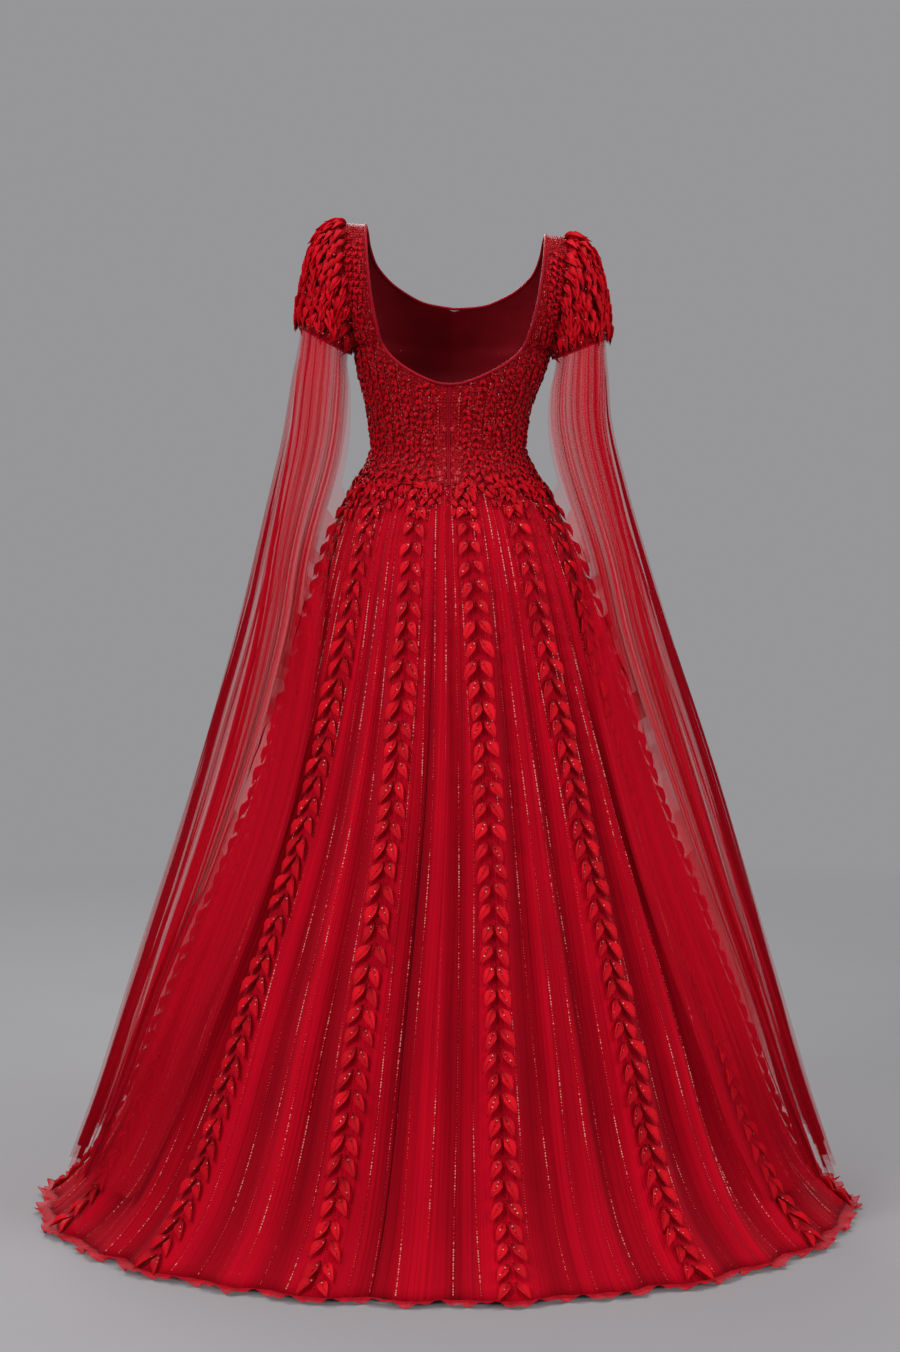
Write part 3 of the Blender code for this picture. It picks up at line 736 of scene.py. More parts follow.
def sheer_cloth(name, colours, thinnest, densest):
    """Sheer tulle, whose lengthwise streaks are the gathers that lie on each other; mark thins it out."""
    cloth = Cloth(name, Sheen_Weight=0.08, Sheen_Tint=(1.0, 0.2, 0.3, 1), **MATT)
    streak = cloth.noise((75.0, 0.8, 1.0), 3.0)
    broad = cloth.noise((19.0, 0.45, 1.0), 2.0)
    light = (streak * 0.6 + broad * 0.6).clipped(0.48, 0.70)
    colour = cloth.blend(light, tone(colours.drape, 1.25), tone(colours.drape, 0.75))
    cover = thinnest + (light - cloth.mark("mark")).clipped(0.0, 1.0) * (densest - thinnest)
    return cloth.shade(
        Base_Color=colour,
        Roughness=0.62 + streak * 0.2,
        Alpha=cover,
        Normal=cloth.bump(streak, 0.004, 0.6),
    )


def satin(name, colour, dark, roughness):
    """Leaf and petal satin: each its own tone, with painted shade at its root and along its midrib."""
    cloth = Cloth(name, Sheen_Weight=0.05, Sheen_Tint=(1.0, 0.03, 0.05, 1), **GLOSSY)
    tint = cloth.mark("tint")
    tipward = cloth.mark("tipward")
    aside = cloth.mark("aside")
    # Low along the midrib's fold, where it paints shade into the colour and also dents the surface
    rib = (aside * aside).clipped(0.0, 0.06)
    grain = cloth.noise((420.0, 420.0, 60.0), 2.0, "Object")
    # Painted shade towards each leaf's root, where it tucks under the leaves above, over its own random tone
    # and grain
    light = tipward.clipped(0.0, 0.45) * 0.6 + tint * 0.4 + grain * 0.12
    colour = cloth.blend(light * (0.55 + rib * 0.45), tone(colour, dark), tone(colour, 1.2))
    return cloth.shade(
        Base_Color=colour,
        Roughness=roughness + grain * 0.25,
        Normal=cloth.bump(grain * 0.4 + rib, 0.0006, 0.6),
    )


def beaded_cloth(colours):
    """The bodice's ground: close small beads and sequins on satin, with painted shade and glints."""
    cloth = Cloth("beaded_cloth", **GLOSSY)
    where = cloth.pattern_place((300.0, 300.0, 1.0))
    cells = {"Vector": where, "Scale": 1.0}
    dome = 1 - cloth.node("ShaderNodeTexVoronoi", cells)
    each = cloth.node("ShaderNodeSeparateColor", {0: cloth.node("ShaderNodeTexVoronoi", cells, output=1)})
    wide = cloth.noise((30.0, 30.0, 1.0), 3.0)
    light = (each * 0.6 + wide * 0.6).clipped(0.25, 1.0)
    # A painted glint on a few beads, palest at their centres
    glint = each.clipped(0.86, 0.92)
    # Each bead's colour is lighter at its centre and darker towards its edge: painted light and shade on its
    # dome
    colour = cloth.blend(light * dome, tone(colours.beads, 0.35), tone(colours.beads, 1.35))
    return cloth.shade(
        Base_Color=cloth.blend(glint * dome, colour, (0.60, 0.06, 0.07, 1)),
        Roughness=0.42 - glint * 0.25,
        Normal=cloth.bump(dome, 0.0016, 0.9),
    )


def bead_finish(name, colour, pale=(0.72, 0.20, 0.17, 1)):
    """Cut beads, most of them deep red and some with a painted pale glint."""
    cloth = Cloth(name, Coat_Weight=0.3, Coat_Roughness=0.1, **GLOSSY)
    tint = cloth.mark("tint")
    # Beads whose tint is near the top take the pale colour, a painted glint
    glint = tint.clipped(0.78, 0.97)
    base = cloth.blend(tint.clipped(0.0, 0.8), tone(colour, 0.45), tone(colour, 1.3))
    grain = cloth.noise((900.0, 900.0, 900.0), 1.0, "Object")
    return cloth.shade(
        Base_Color=cloth.blend(glint, base, pale),
        Roughness=0.12 + grain * 0.2,
    )


def plain_satin(name, colour, weave, roughness):
    """Smooth woven cloth: fine twill lines and a soft uneven tone."""
    cloth = Cloth(name, Sheen_Weight=0.1, Sheen_Tint=(1.0, 0.1, 0.1, 1), **GLOSSY)
    lines = cloth.node(
        "ShaderNodeTexWave",
        {"Vector": cloth.pattern_place((weave, weave, 1.0)), "Scale": 1.0, "Distortion": 0.6},
        output=1,
        bands_direction="DIAGONAL",
    )
    soft = cloth.noise((40.0, 40.0, 40.0), 3.0, "Object")
    return cloth.shade(
        Base_Color=cloth.blend(soft * 0.8 + lines * 0.15, tone(colour, 0.5), tone(colour, 1.2)),
        Roughness=roughness + lines * 0.12,
        Normal=cloth.bump(lines, 0.0002, 0.5),
    )


# What a user would change


def colour_choice(name, description, default):
    """A colour property with these words."""
    return bpy.props.FloatVectorProperty(
        name=name, description=description, subtype="COLOR", size=3, min=0, max=1, default=default
    )


def length_choice(name, description, default):
    """A length property with these words, in metres."""
    return bpy.props.FloatProperty(name=name, description=description, default=default, unit="LENGTH")


class GownColours(bpy.types.PropertyGroup):
    skirt: colour_choice("Skirt", "Tulle of the skirt", (0.395, 0.0008, 0.0095))
    drape: colour_choice("Drapes", "Sheer tulle of the drapes and the hem", (0.58, 0.003, 0.016))
    leaves: colour_choice("Leaves", "Satin of the leaf vines", (0.50, 0.0024, 0.010))
    petals: colour_choice("Petals", "Satin of the cap sleeves and the bodice's sprigs", (0.46, 0.0018, 0.008))
    binding: colour_choice("Binding", "Satin of the neckline's binding and the zip", (0.30, 0.0012, 0.010))
    lining: colour_choice("Lining", "Inside of the bodice", (0.14, 0.001, 0.005))
    beads: colour_choice("Beads", "Beads and beaded ground", (0.43, 0.0014, 0.008))
    lines: colour_choice("Bead lines", "Lighter beads of the skirt's lines", (0.62, 0.030, 0.035))


class GownSizes(bpy.types.PropertyGroup):
    cloth: length_choice("Cloth", "Thickness of the skirt and bodice", 0.0006)
    tulle: length_choice("Tulle", "Thickness of the sheer tulle", 0.0003)
    leaf_length: length_choice("Leaf length", "Length of a vine's leaf", 0.041)
    leaf_width: length_choice("Leaf width", "Width of a vine's leaf", 0.0150)
    leaf_pitch: length_choice("Leaf pitch", "Distance from one leaf pair to the next", 0.031)
    petal_length: length_choice("Petal length", "Length of a cap's petal", 0.034)
    petal_width: length_choice("Petal width", "Width of a cap's petal", 0.0102)
    sprig_length: length_choice("Sprig length", "Length of the bodice's small leaves", 0.0125)
    bead: length_choice("Bead", "Width of a bodice bead", 0.0025)


# Kept as the skirt's mark, which sets how much shade is painted into its colour in the folds
def skirt_fold_shade(sector, height):
    """How deep in a fold each place of the skirt lies, from 0 on a ridge to 1 in a trough."""
    outer = skirt_place(sector, height, fine=0.0)
    inner = skirt_place(sector, height)
    radius = np.hypot(outer[..., 0], outer[..., 1]) - np.hypot(inner[..., 0], inner[..., 1])
    folds = 0.62 * FOLD(between_vines(sector, height)) * eased((1.10 - height) / 0.45)
    return np.clip(folds + 45 * radius, 0, 1)


class GOWN_OT_skirt(bpy.types.Operator):
    """Hang the four skirt panels in their long folds"""

    bl_idname = "gown.skirt"
    bl_label = "Skirt panels"

    def execute(self, context):
        finish = skirt_cloth(context.scene.gown_colours)
        heights = slant_heights(SKIRT_PANEL_ROWS + 1)
        for panel in SKIRT_PANELS:

            def spot(u, v, panel=panel):
                height = np.interp(v * SKIRT_PANEL_ROWS, np.arange(SKIRT_PANEL_ROWS + 1), heights)
                inset = 0.0012 * (1 - 2 * u)
                sector = panel.first_vine - 1 + seam_share(height) + u * panel.vines
                return sector + inset * 0.3 / SKIRT["half_width"](height), height

            mesh = placed_grid(
                panel.node.replace("skirt", "tulle_skirt"),
                panel.columns,
                SKIRT_PANEL_ROWS,
                lambda u, v: skirt_place(*spot(u, v)),
                panel.flat,
                mark=lambda u, v: skirt_fold_shade(*spot(u, v)),
            )
            face_out(mesh, from_axis)
            piece = piece_of(mesh, finish, [panel.node])
            thicken(piece, context.scene.gown_sizes.cloth)
        return {"FINISHED"}


class GOWN_OT_leaf_vines(bpy.types.Operator):
    """Sew fourteen vines of satin leaf pairs and beads down the skirt"""

    bl_idname = "gown.leaf_vines"
    bl_label = "Leaf vines"

    def execute(self, context):
        colours = context.scene.gown_colours
        sizes = context.scene.gown_sizes
        finish = satin("leaf_satin", colours.leaves, 0.20, 0.42)
        # The last colour is the pale colour of the vine beads' painted glints
        beads = bead_finish("vine_beads", colours.beads, (0.88, 0.36, 0.32, 1))
        steps = slant_heights(round(1.27 / sizes.leaf_pitch))
        for vine in range(VINES):
            chance = np.random.default_rng(100 + vine)
            heights = np.repeat(steps[:-1], 2) + chance.uniform(-0.002, 0.002, 2 * len(steps) - 2)
            sides = np.tile((-1.0, 1.0), len(steps) - 1)
            spots = frames_on(on_skirt(0.0012), np.full(len(heights), float(vine)), heights, SKIRT_REACH)
            place, sideways, along, outward = spots
            place = place + (0.0028 * sides)[:, None] * sideways
            count = len(heights)
            smaller = np.interp(heights, (0.85, 1.1), (1.0, 0.72))
            heading = np.radians(chance.uniform(20, 34, count)) * sides
            length = sizes.leaf_length * chance.uniform(0.88, 1.08, count) * smaller
            width = sizes.leaf_width * chance.uniform(0.85, 1.12, count) * smaller
            mesh, forward, raised = sewn_leaves(
                f"satin_vine_{vine + 1:02d}",
                (place, sideways, along, outward),
                heading,
                length,
                width,
                chance.uniform(0.03, 0.14, count),
                chance,
                leaf_pattern(0.92, 1.6, 0.20, 0.04, 0.018),
            )
            piece = piece_of(mesh, finish, [f"leaf_vine_{vine + 1:02d}"])
            rows = [
                place + forward * (length * share)[:, None] + raised * 0.0022
                for share in (0.24, 0.42, 0.6)
            ]
            self.bead(vine, beads, chance, rows, sideways, along, outward)
        return {"FINISHED"}

    def panel_of(self, vine):
        return next(panel.node for panel in reversed(SKIRT_PANELS) if vine >= panel.first_vine)

    def bead(self, vine, finish, chance, rows, sideways, along, outward):
        """A beaded stem, and one to three beads on each leaf, most of them with a painted pale glint."""
        stem = np.linspace(1.098, 0.012, 300)
        sector = vine + chance.uniform(-0.0009, 0.0009, len(stem)) / skirt_radius(stem) / VINE_SPACING
        spots = frames_on(on_skirt(0.0022), sector, stem, SKIRT_REACH)
        tints = chance.uniform(0.0, 0.75, len(stem)) ** 1.3
        sizes = chance.uniform(0.0014, 0.0022, len(stem))
        for row, keep in zip(rows, (0.9, 0.75, 0.3)):
            chosen = chance.uniform(0, 1, len(row)) < keep
            nudge = chance.uniform(-0.0016, 0.0016, (len(row), 1)) * sideways
            extra = (row + nudge, sideways, along, outward)
            spots = tuple(np.concatenate((old, new[chosen])) for old, new in zip(spots, extra))
            tints = np.concatenate((tints, chance.uniform(0.7, 1.0, chosen.sum())))
            sizes = np.concatenate((sizes, chance.uniform(0.0022, 0.0034, chosen.sum())))
        mesh = sewn_beads(f"vine_beads_{vine + 1:02d}", spots, sizes, sizes * 1.15, tints)
        piece_of(mesh, finish, smooth=False)


class GOWN_OT_bead_lines(bpy.types.Operator):
    """Stitch the fine broken lines of beads that run down between the vines"""

    bl_idname = "gown.bead_lines"
    bl_label = "Bead lines"

    def execute(self, context):
        # The last colour is the pale colour of the line beads' painted glints
        finish = bead_finish("line_beads", context.scene.gown_colours.lines, (0.88, 0.32, 0.27, 1))
        for panel in SKIRT_PANELS:
            chance = np.random.default_rng(300 + panel.first_vine)
            sectors = []
            heights = []
            tints = []
            for vine in range(panel.first_vine, panel.first_vine + panel.vines):
                for share in (0.14, 0.28, 0.43, 0.57, 0.71, 0.86):
                    run = slant_heights(300) + chance.uniform(-0.0008, 0.0008, 300)
                    line = vine + share + chance.uniform(-0.03, 0.03)
                    wave = 0.010 * np.sin(9 * run + chance.uniform(0, 6))
                    # Brighter stretches of a line have closer beads and paler tints, and the palest tints
                    # take the painted glint
                    bright = 0.5 + 0.25 * np.sin(chance.uniform(11, 17) * run + chance.uniform(0, 6))
                    bright += 0.25 * np.sin(chance.uniform(37, 52) * run + chance.uniform(0, 6))
                    keep = chance.uniform(0, 1, len(run)) < 0.55 + 0.5 * bright
                    sectors.append((line + wave)[keep])
                    heights.append(run[keep])
                    tints.append(np.clip(0.14 + bright * chance.uniform(0.6, 1.25, len(run)), 0, 0.95)[keep])
            height = np.maximum(np.concatenate(heights), 0.012)
            spots = frames_on(on_skirt(0.0007), np.concatenate(sectors), height, SKIRT_REACH)
            tint = np.concatenate(tints)
            width = 0.0013 + 0.0010 * tint
            mesh = sewn_beads(panel.node.replace("skirt", "bead_lines"), spots, width, width * 1.9, tint)
            piece_of(mesh, finish, smooth=False)
        return {"FINISHED"}


LEAST_HEIGHT = 0.0016


class GOWN_OT_hem_edging(bpy.types.Operator):
    """Gather the sheer ruffled edging round the hem"""

    bl_idname = "gown.hem_edging"
    bl_label = "Hem edging"

    def execute(self, context):
        colours = context.scene.gown_colours
        finish = sheer_cloth("hem_tulle", colours, 0.45, 0.95)
        bottom = SKIRT_ROWS[-1].height

        def place(u, v):
            sector = u * VINES
            edge = skirt_place(sector, np.full_like(u, bottom))
            turn = 2 * math.pi * u
            ruffle = np.sin(61 * turn + 2 * wander(turn, 21, (2, 5, 9)))
            curls = np.sin(139 * turn + 2 * wander(turn, 22, (4, 11, 17)))
            reach = v * (0.0195 + 0.0030 * ruffle * wander(turn, 23, (5, 9, 14)) + 0.0032 * curls * v)
            rise = v * (0.0006 + 0.0034 * ruffle) + 0.0030 * curls * v * v
            out = unit(from_axis(edge))
            lifted = edge + out * (0.0008 + reach)[..., None]
            lifted[..., 2] = np.maximum(edge[..., 2] + rise, LEAST_HEIGHT - SHOULDER_HEIGHT)
            return lifted

        def thin(_u, v):
            return 1 - eased((v - 0.72) / 0.2)

        mesh = placed_grid("ruffled_hem", 1040, 5, place, (4.6, 0.021), joined=True, mark=thin)
        face_out(mesh, upwards)
        piece = piece_of(mesh, finish, ["hem_edging"])
        thicken(piece, context.scene.gown_sizes.tulle)
        return {"FINISHED"}


# The heights of the bodice's rows of faces, closer together at the neckline's low curve and the strap's top
BODICE_RISE = smooth_profile(
    (0.0, 0.36, 0.46, 0.60, 0.74, 0.86, 0.94, 1.0),
    (1.1056, 1.2500, 1.2640, 1.3100, 1.3900, 1.4600, 1.4900, 1.4973),
)


class GOWN_OT_bodice(bpy.types.Operator):
    """Fit the bodice's front and backs, its satin binding and the concealed zip"""

    bl_idname = "gown.bodice"
    bl_label = "Bodice"

    def execute(self, context):
        colours = context.scene.gown_colours
        finish = beaded_cloth(colours)
        lining = plain_satin("bodice_lining", colours.lining, 700.0, 0.5)
        sizes = {"bodice_back_left": (0.20, 0.42, 0.047), "bodice_front": (0.44, 0.44, 0.125)}
        sizes["bodice_back_right"] = sizes["bodice_back_left"]
        for node, (width, length, area) in sizes.items():
            name = node.replace("bodice", "beaded_bodice")
            if node == "bodice_front":
                mesh = self.half(name, front_neck, 1, -1)
                merge(mesh, self.half("other_half", front_neck, -1, -1))
            else:
                mesh = self.half(name, back_neck, 1 if node.endswith("left") else -1, 1)
            face_out(mesh, from_axis)
            piece = thicken(piece_of(mesh, finish, [node]), context.scene.gown_sizes.cloth)
            mesh.materials.append(lining)
            piece.modifiers[0].material_offset = 1
        satin_cloth = plain_satin("satin_binding", colours.binding, 900.0, 0.4)
        self.bind(satin_cloth)
        self.close_zip(satin_cloth)
        return {"FINISHED"}

    def half(self, name, neck, side, facing):
        def place(u, v):
            height = BODICE_RISE(1 - v)
            return bodice_place(across_at(height, neck(height), u), height, side, facing)

        return placed_grid(name, 36, 84, place, (0.2, 0.4))

    def bind(self, finish):
        """A satin binding tube along the whole neckline: the back's U, over the straps and the front."""
        ways = []
        for facing, edge in ((1, BACK_NECK), (-1, FRONT_NECK)):
            curve = smooth_profile([place[0] for place in edge], [place[1] for place in edge])
            across = edge[-1][0] * np.sin(np.linspace(math.pi / 2, 0, 60))
            left = bodice_place(across, curve(across), 1, facing, lift=0.0006)
            right = bodice_place(across, curve(across), -1, facing, lift=0.0006)
            ways.append(np.concatenate((left, right[-2::-1])))
        path = np.concatenate((ways[0], ways[1][-2:0:-1]))
        curve = bpy.data.curves.new("neck_binding_satin", "CURVE")
        curve.dimensions = "3D"
        curve.bevel_depth = 0.0023
        curve.bevel_resolution = 3
        spline = curve.splines.new("POLY")
        spline.points.add(len(path) - 1)
        for point, place in zip(spline.points, path):
            point.co = (*place, 1)
        spline.use_cyclic_u = True
        tube = bpy.data.objects.new("neck_binding_curve", curve)
        bpy.context.scene.collection.objects.link(tube)
        mesh = bpy.data.meshes.new_from_object(tube)
        bpy.data.objects.remove(tube)
        mesh.name = "neck_binding_satin"
        mesh.materials.clear()
        piece = piece_of(mesh, finish, ["neck_binding"])

    def close_zip(self, finish):
        """The two edges that meet over the zip, from the neckline to the waist."""

        def place(u, v):
            across = (u - 0.5) * 2 * ZIP_HALF_WIDTH
            height = BACK_NECK_LOW + (1.1058 - BACK_NECK_LOW) * v
            spot = bodice_place(np.abs(across), height, 1, 1)
            spot[..., 0] += across - np.abs(across)
            spot[..., 1] += 0.0014 * np.abs(np.sin(2 * math.pi * u)) ** 0.5 - 0.0008
            return spot

        mesh = placed_grid("zip_tape_back", 20, 60, place, (0.006, 0.16))
        face_out(mesh, from_axis)
        piece = thicken(piece_of(mesh, finish, ["back_zip"]), 0.0006)


BodiceArea = namedtuple("BodiceArea", "name neck side facing")
BODICE_AREAS = (
    BodiceArea("back_left", back_neck, 1, 1),
    BodiceArea("back_right", back_neck, -1, 1),
    BodiceArea("front_left", front_neck, 1, -1),
    BodiceArea("front_right", front_neck, -1, -1),
)


def on_bodice(area, lift):
    """One side of the bodice this far out from its cloth, by distance from the centre and height."""
    return lambda across, height: bodice_place(across, height, area.side, area.facing, lift=lift)


WAIST_SPRIGS_A_ROW = 84


class GOWN_OT_bodice_beads(bpy.types.Operator):
    """Sew beads, bugle lines and small satin sprigs over the bodice"""

    bl_idname = "gown.bodice_beads"
    bl_label = "Bodice beads"

    def execute(self, context):
        colours = context.scene.gown_colours
        sizes = context.scene.gown_sizes
        finish = bead_finish("bodice_beads", colours.beads)
        bugles = bead_finish("bugle_beads", colours.lines)
        leaves = satin("sprig_satin", colours.beads, 0.3, 0.42)
        for number, area in enumerate(BODICE_AREAS):
            chance = np.random.default_rng(500 + number)
            across, heights = self.ground(chance, area)
            spots = frames_on(on_bodice(area, 0.0007), across, heights, BODICE_REACH)
            count = len(heights)
            long = sizes.bead * np.where(chance.uniform(0, 1, count) < 0.3, 1.9, 1.0)
            spots = turned(spots, chance.uniform(0, math.pi, count))
            mesh = sewn_beads(
                "bodice_beads_" + area.name,
                spots,
                sizes.bead * chance.uniform(0.7, 1.1, count),
                long,
                chance.uniform(0, 0.95, count) ** 1.6,
            )
            piece_of(mesh, finish, smooth=False)
            self.bugles(area, chance, bugles)
            self.sprigs(area, chance, sizes, leaves)
        self.waist(finish, leaves, sizes)
        return {"FINISHED"}

    def ground(self, chance, area):
        """Places all over one side of the bodice, close together."""
        across = []
        heights = []
        for height in np.arange(1.109, 1.494, 0.0041):
            start = float(area.neck(np.array(height))) + 0.0024
            edge = float(BODICE["side"](np.array(height)))
            turns = np.arange(math.asin(min(start / edge, 1)), math.pi / 2, 0.0041 / (0.85 * edge))
            across.append(edge * np.sin(turns))
            heights.append(np.full(len(turns), height))
        across = np.concatenate(across)
        heights = np.concatenate(heights) + chance.uniform(-0.0012, 0.0012, len(across))
        return np.maximum(across + chance.uniform(-0.0012, 0.0012, len(across)), 0.0), heights

    def within(self, area, across, heights, margin):
        """Which places lie on the cloth, this far from the neckline."""
        return (across > area.neck(heights) + margin) & (heights > 1.108) & (heights < 1.485)

    def bugles(self, area, chance, finish):
        """Upright lines of long beads below the neckline, and slanting ones that point down at the waist."""
        lines = []
        for share in (0.13, 0.24, 0.35, 0.46, 0.58, 0.70, 0.82):
            heights = np.arange(1.186, 1.40, 0.0052)
            lines.append((share * BODICE["side"](heights), heights, 0.0 * heights))
        for start in (1.150, 1.162, 1.174, 1.212, 1.224):
            heights = np.arange(start, start - 0.062, -0.0042)
            across = 0.098 * BODICE["side"](heights) / 0.13 - (start - heights) * 1.35
            lines.append((across, heights, 0.0 * heights + 0.93))
        across, heights, turn = (np.concatenate(part) for part in zip(*lines))
        keep = self.within(area, across, heights, 0.006) & (chance.uniform(0, 1, len(heights)) < 0.85)
        across, heights, turn = across[keep], heights[keep], turn[keep]
        spots = frames_on(on_bodice(area, 0.0022), across, heights, BODICE_REACH)
        handed = area.side * area.facing
        spots = turned(spots, turn * handed)
        count = len(heights)
        mesh = sewn_beads(
            "bugle_lines_" + area.name,
            spots,
            np.full(count, 0.0019),
            np.full(count, 0.0052),
            chance.uniform(0.05, 1.0, count) ** 1.4,
        )
        piece_of(mesh, finish, smooth=False)

    def sprigs(self, area, chance, sizes, finish):
        """Columns of small satin leaf pairs from the neckline to the waist."""
        shares = []
        heights = []
        for share in np.linspace(0.05, 0.98, 11):
            column = np.arange(1.112 + chance.uniform(0, 0.010), 1.47, 0.0105)
            shares.append(np.full(len(column), share))
            heights.append(column)
        shares.append(np.linspace(0.01, 0.99, 17))
        heights.append(np.full(17, 1.109))
        share = np.repeat(np.concatenate(shares), 2)
        heights = np.repeat(np.concatenate(heights), 2)
        sides = np.tile((-1.0, 1.0), len(share) // 2)
        across = BODICE["side"](heights) * np.sin(share * math.pi / 2)
        keep = self.within(area, across, heights, 0.010)
        across, heights, sides = across[keep], heights[keep], sides[keep]
        spots = frames_on(on_bodice(area, 0.0016), across, heights, BODICE_REACH)
        count = len(heights)
        heading = np.radians(chance.uniform(8, 62, count)) * sides
        longer = np.interp(heights, (1.110, 1.140), (1.9, 1.0))
        length = sizes.sprig_length * chance.uniform(0.7, 1.15, count) * longer
        lean = chance.uniform(0.04, 0.16, count)
        mesh = sewn_sprigs("bodice_sprigs_" + area.name, spots, heading, length, 0.40, lean, chance)
        piece_of(mesh, finish)

    def waist(self, finish, leaves, sizes):
        """Beads and sprigs that run on from the bodice over the top of the skirt, in points."""
        chance = np.random.default_rng(540)
        round_waist = np.linspace(0, VINES, 300, endpoint=False)
        sector, height = np.meshgrid(round_waist, np.arange(1.050, 1.107, 0.0032))
        sector = (sector + chance.uniform(-0.02, 0.02, sector.shape)).ravel()
        height = (height + chance.uniform(-0.0012, 0.0012, height.shape)).ravel()
        height = np.minimum(height, 1.104)
        points = 1.082 - 0.032 * np.abs(np.cos(math.pi * sector)) ** 3
        kept = height > points + chance.uniform(-0.014, 0.014, len(height))
        sector = sector[kept]
        height = height[kept]
        count = len(height)
        spots = frames_on(on_skirt(0.0012), sector, height, SKIRT_REACH)
        spots = turned(spots, chance.uniform(0, math.pi, count))
        width = sizes.bead * chance.uniform(0.7, 1.1, count)
        mesh = sewn_beads("waist_beads", spots, width, width * 1.3, chance.uniform(0, 1, count) ** 1.5)
        piece_of(mesh, finish, smooth=False)
        rows = (1.101, 1.089, 1.074)
        each = WAIST_SPRIGS_A_ROW
        count = each * len(rows)
        sector = np.tile(np.linspace(0, VINES, each, endpoint=False), len(rows))
        height = np.repeat(rows, each) + chance.uniform(-0.006, 0.003, count)
        sector = sector + chance.uniform(-0.08, 0.08, count)
        near = 0.5 + 0.5 * np.cos(2 * math.pi * sector)
        likely = np.repeat((0.9, 0.6, 0.1), each) + np.repeat((0.0, 0.3, 0.6), each) * near
        chosen = chance.uniform(0, 1, count) < likely
        spots = frames_on(on_skirt(0.0016), sector[chosen], height[chosen], SKIRT_REACH)
        count = chosen.sum()
        length = chance.uniform(0.014, 0.023, count)
        heading = np.radians(chance.uniform(-48, 48, count))
        lean = chance.uniform(-0.02, 0.06, count)
        mesh = sewn_sprigs("waist_sprigs", spots, heading, length, 0.42, lean, chance)
        piece_of(mesh, leaves)


class GOWN_OT_cap_sleeves(bpy.types.Operator):
    """Layer the petals over both cap sleeves"""

    bl_idname = "gown.cap_sleeves"
    bl_label = "Cap sleeves"

    def execute(self, context):
        colours = context.scene.gown_colours
        sizes = context.scene.gown_sizes
        ground = beaded_cloth(colours)
        finish = satin("petal_satin", colours.petals, 0.22, 0.40)
        beads = bead_finish("cap_beads", colours.beads)
        for number, (word, side) in enumerate((("left", 1), ("right", -1))):
            chance = np.random.default_rng(700 + number)

            def cap(u, v, side=side):
                return cap_place(2 * math.pi * u, v, side)

            mesh = placed_grid("cap_cloth_" + word, 64, 18, cap, (0.5, 0.19), joined=True)
            face_out(mesh, from_arm(side))
            base = thicken(piece_of(mesh, ground, ["sleeve_cap_" + word]), 0.0008)
            petals = self.petals("cap_petals_" + word, side, chance, sizes, finish)
            sewn = self.beads("cap_beads_" + word, side, chance, beads)
        return {"FINISHED"}

    def spots(self, turn, down, side, lift):
        """Places on the cap, where down is bent towards the floor as the petals hang."""

        def surface(a, b):
            return cap_place(a, b, side, lift=lift)

        down = np.clip(down, 0, 0.96)
        place, _sideways, along, outward = frames_on(surface, turn, down, (0.02, 0.03), from_arm(side))
        floorwards = -upwards(place) + outward * outward[:, 2:3]
        along = unit(along + 1.1 * floorwards)
        return place, np.cross(along, outward), along, outward

    def petals(self, name, side, chance, sizes, finish):
        """Columns of petals from the cuff up to the armhole, each row under the one above it."""
        turns = []
        downs = []
        columns = 42
        for column in range(columns):
            turn = 2 * math.pi * (column + 0.5) / columns
            down = np.linspace(0, 1, 80)
            line = cap_place(np.full(80, turn), down, side)
            along = np.concatenate(([0], np.cumsum(np.linalg.norm(np.diff(line, axis=0), axis=1))))
            pitch = 0.0118
            places = np.arange(along[-1] - 0.027 - (column % 2) * pitch / 2, -0.004, -pitch)
            downs.append(np.interp(places, along, down))
            turns.append(np.full(len(places), turn))
        turn = np.concatenate(turns)
        count = len(turn)
        turn = turn + chance.uniform(-0.06, 0.06, count)
        down = np.concatenate(downs) + chance.uniform(-0.02, 0.02, count)
        mesh, _forward, _raised = sewn_leaves(
            name,
            self.spots(turn, down, side, -0.0005),
            np.radians(chance.uniform(-20, 20, count)),
            sizes.petal_length * chance.uniform(0.78, 1.08, count),
            sizes.petal_width * chance.uniform(0.85, 1.12, count),
            chance.uniform(0.02, 0.34, count),
            chance,
            leaf_pattern(0.74, 1.6, 0.26, -0.03, 0.014),
        )
        return piece_of(mesh, finish)

    def beads(self, name, side, chance, finish):
        count = 420
        turn = chance.uniform(0.5, 2 * math.pi - 0.5, count)
        spots = self.spots(turn, chance.uniform(0, 1, count) ** 0.8, side, 0.0065)
        width = chance.uniform(0.0018, 0.0030, count)
        mesh = sewn_beads(name, spots, width, width, chance.uniform(0.3, 1, count))
        return piece_of(mesh, finish, smooth=False)


DrapeLayer = namedtuple("DrapeLayer", "name first last inset columns width thinnest densest")
DRAPE_LAYERS = (
    DrapeLayer("outer", 0.0, 1.0, 0.0, 160, 0.95, 0.10, 0.36),
    DrapeLayer("inner", 0.01, 0.47, 0.028, 92, 0.43, 0.20, 0.95),
)


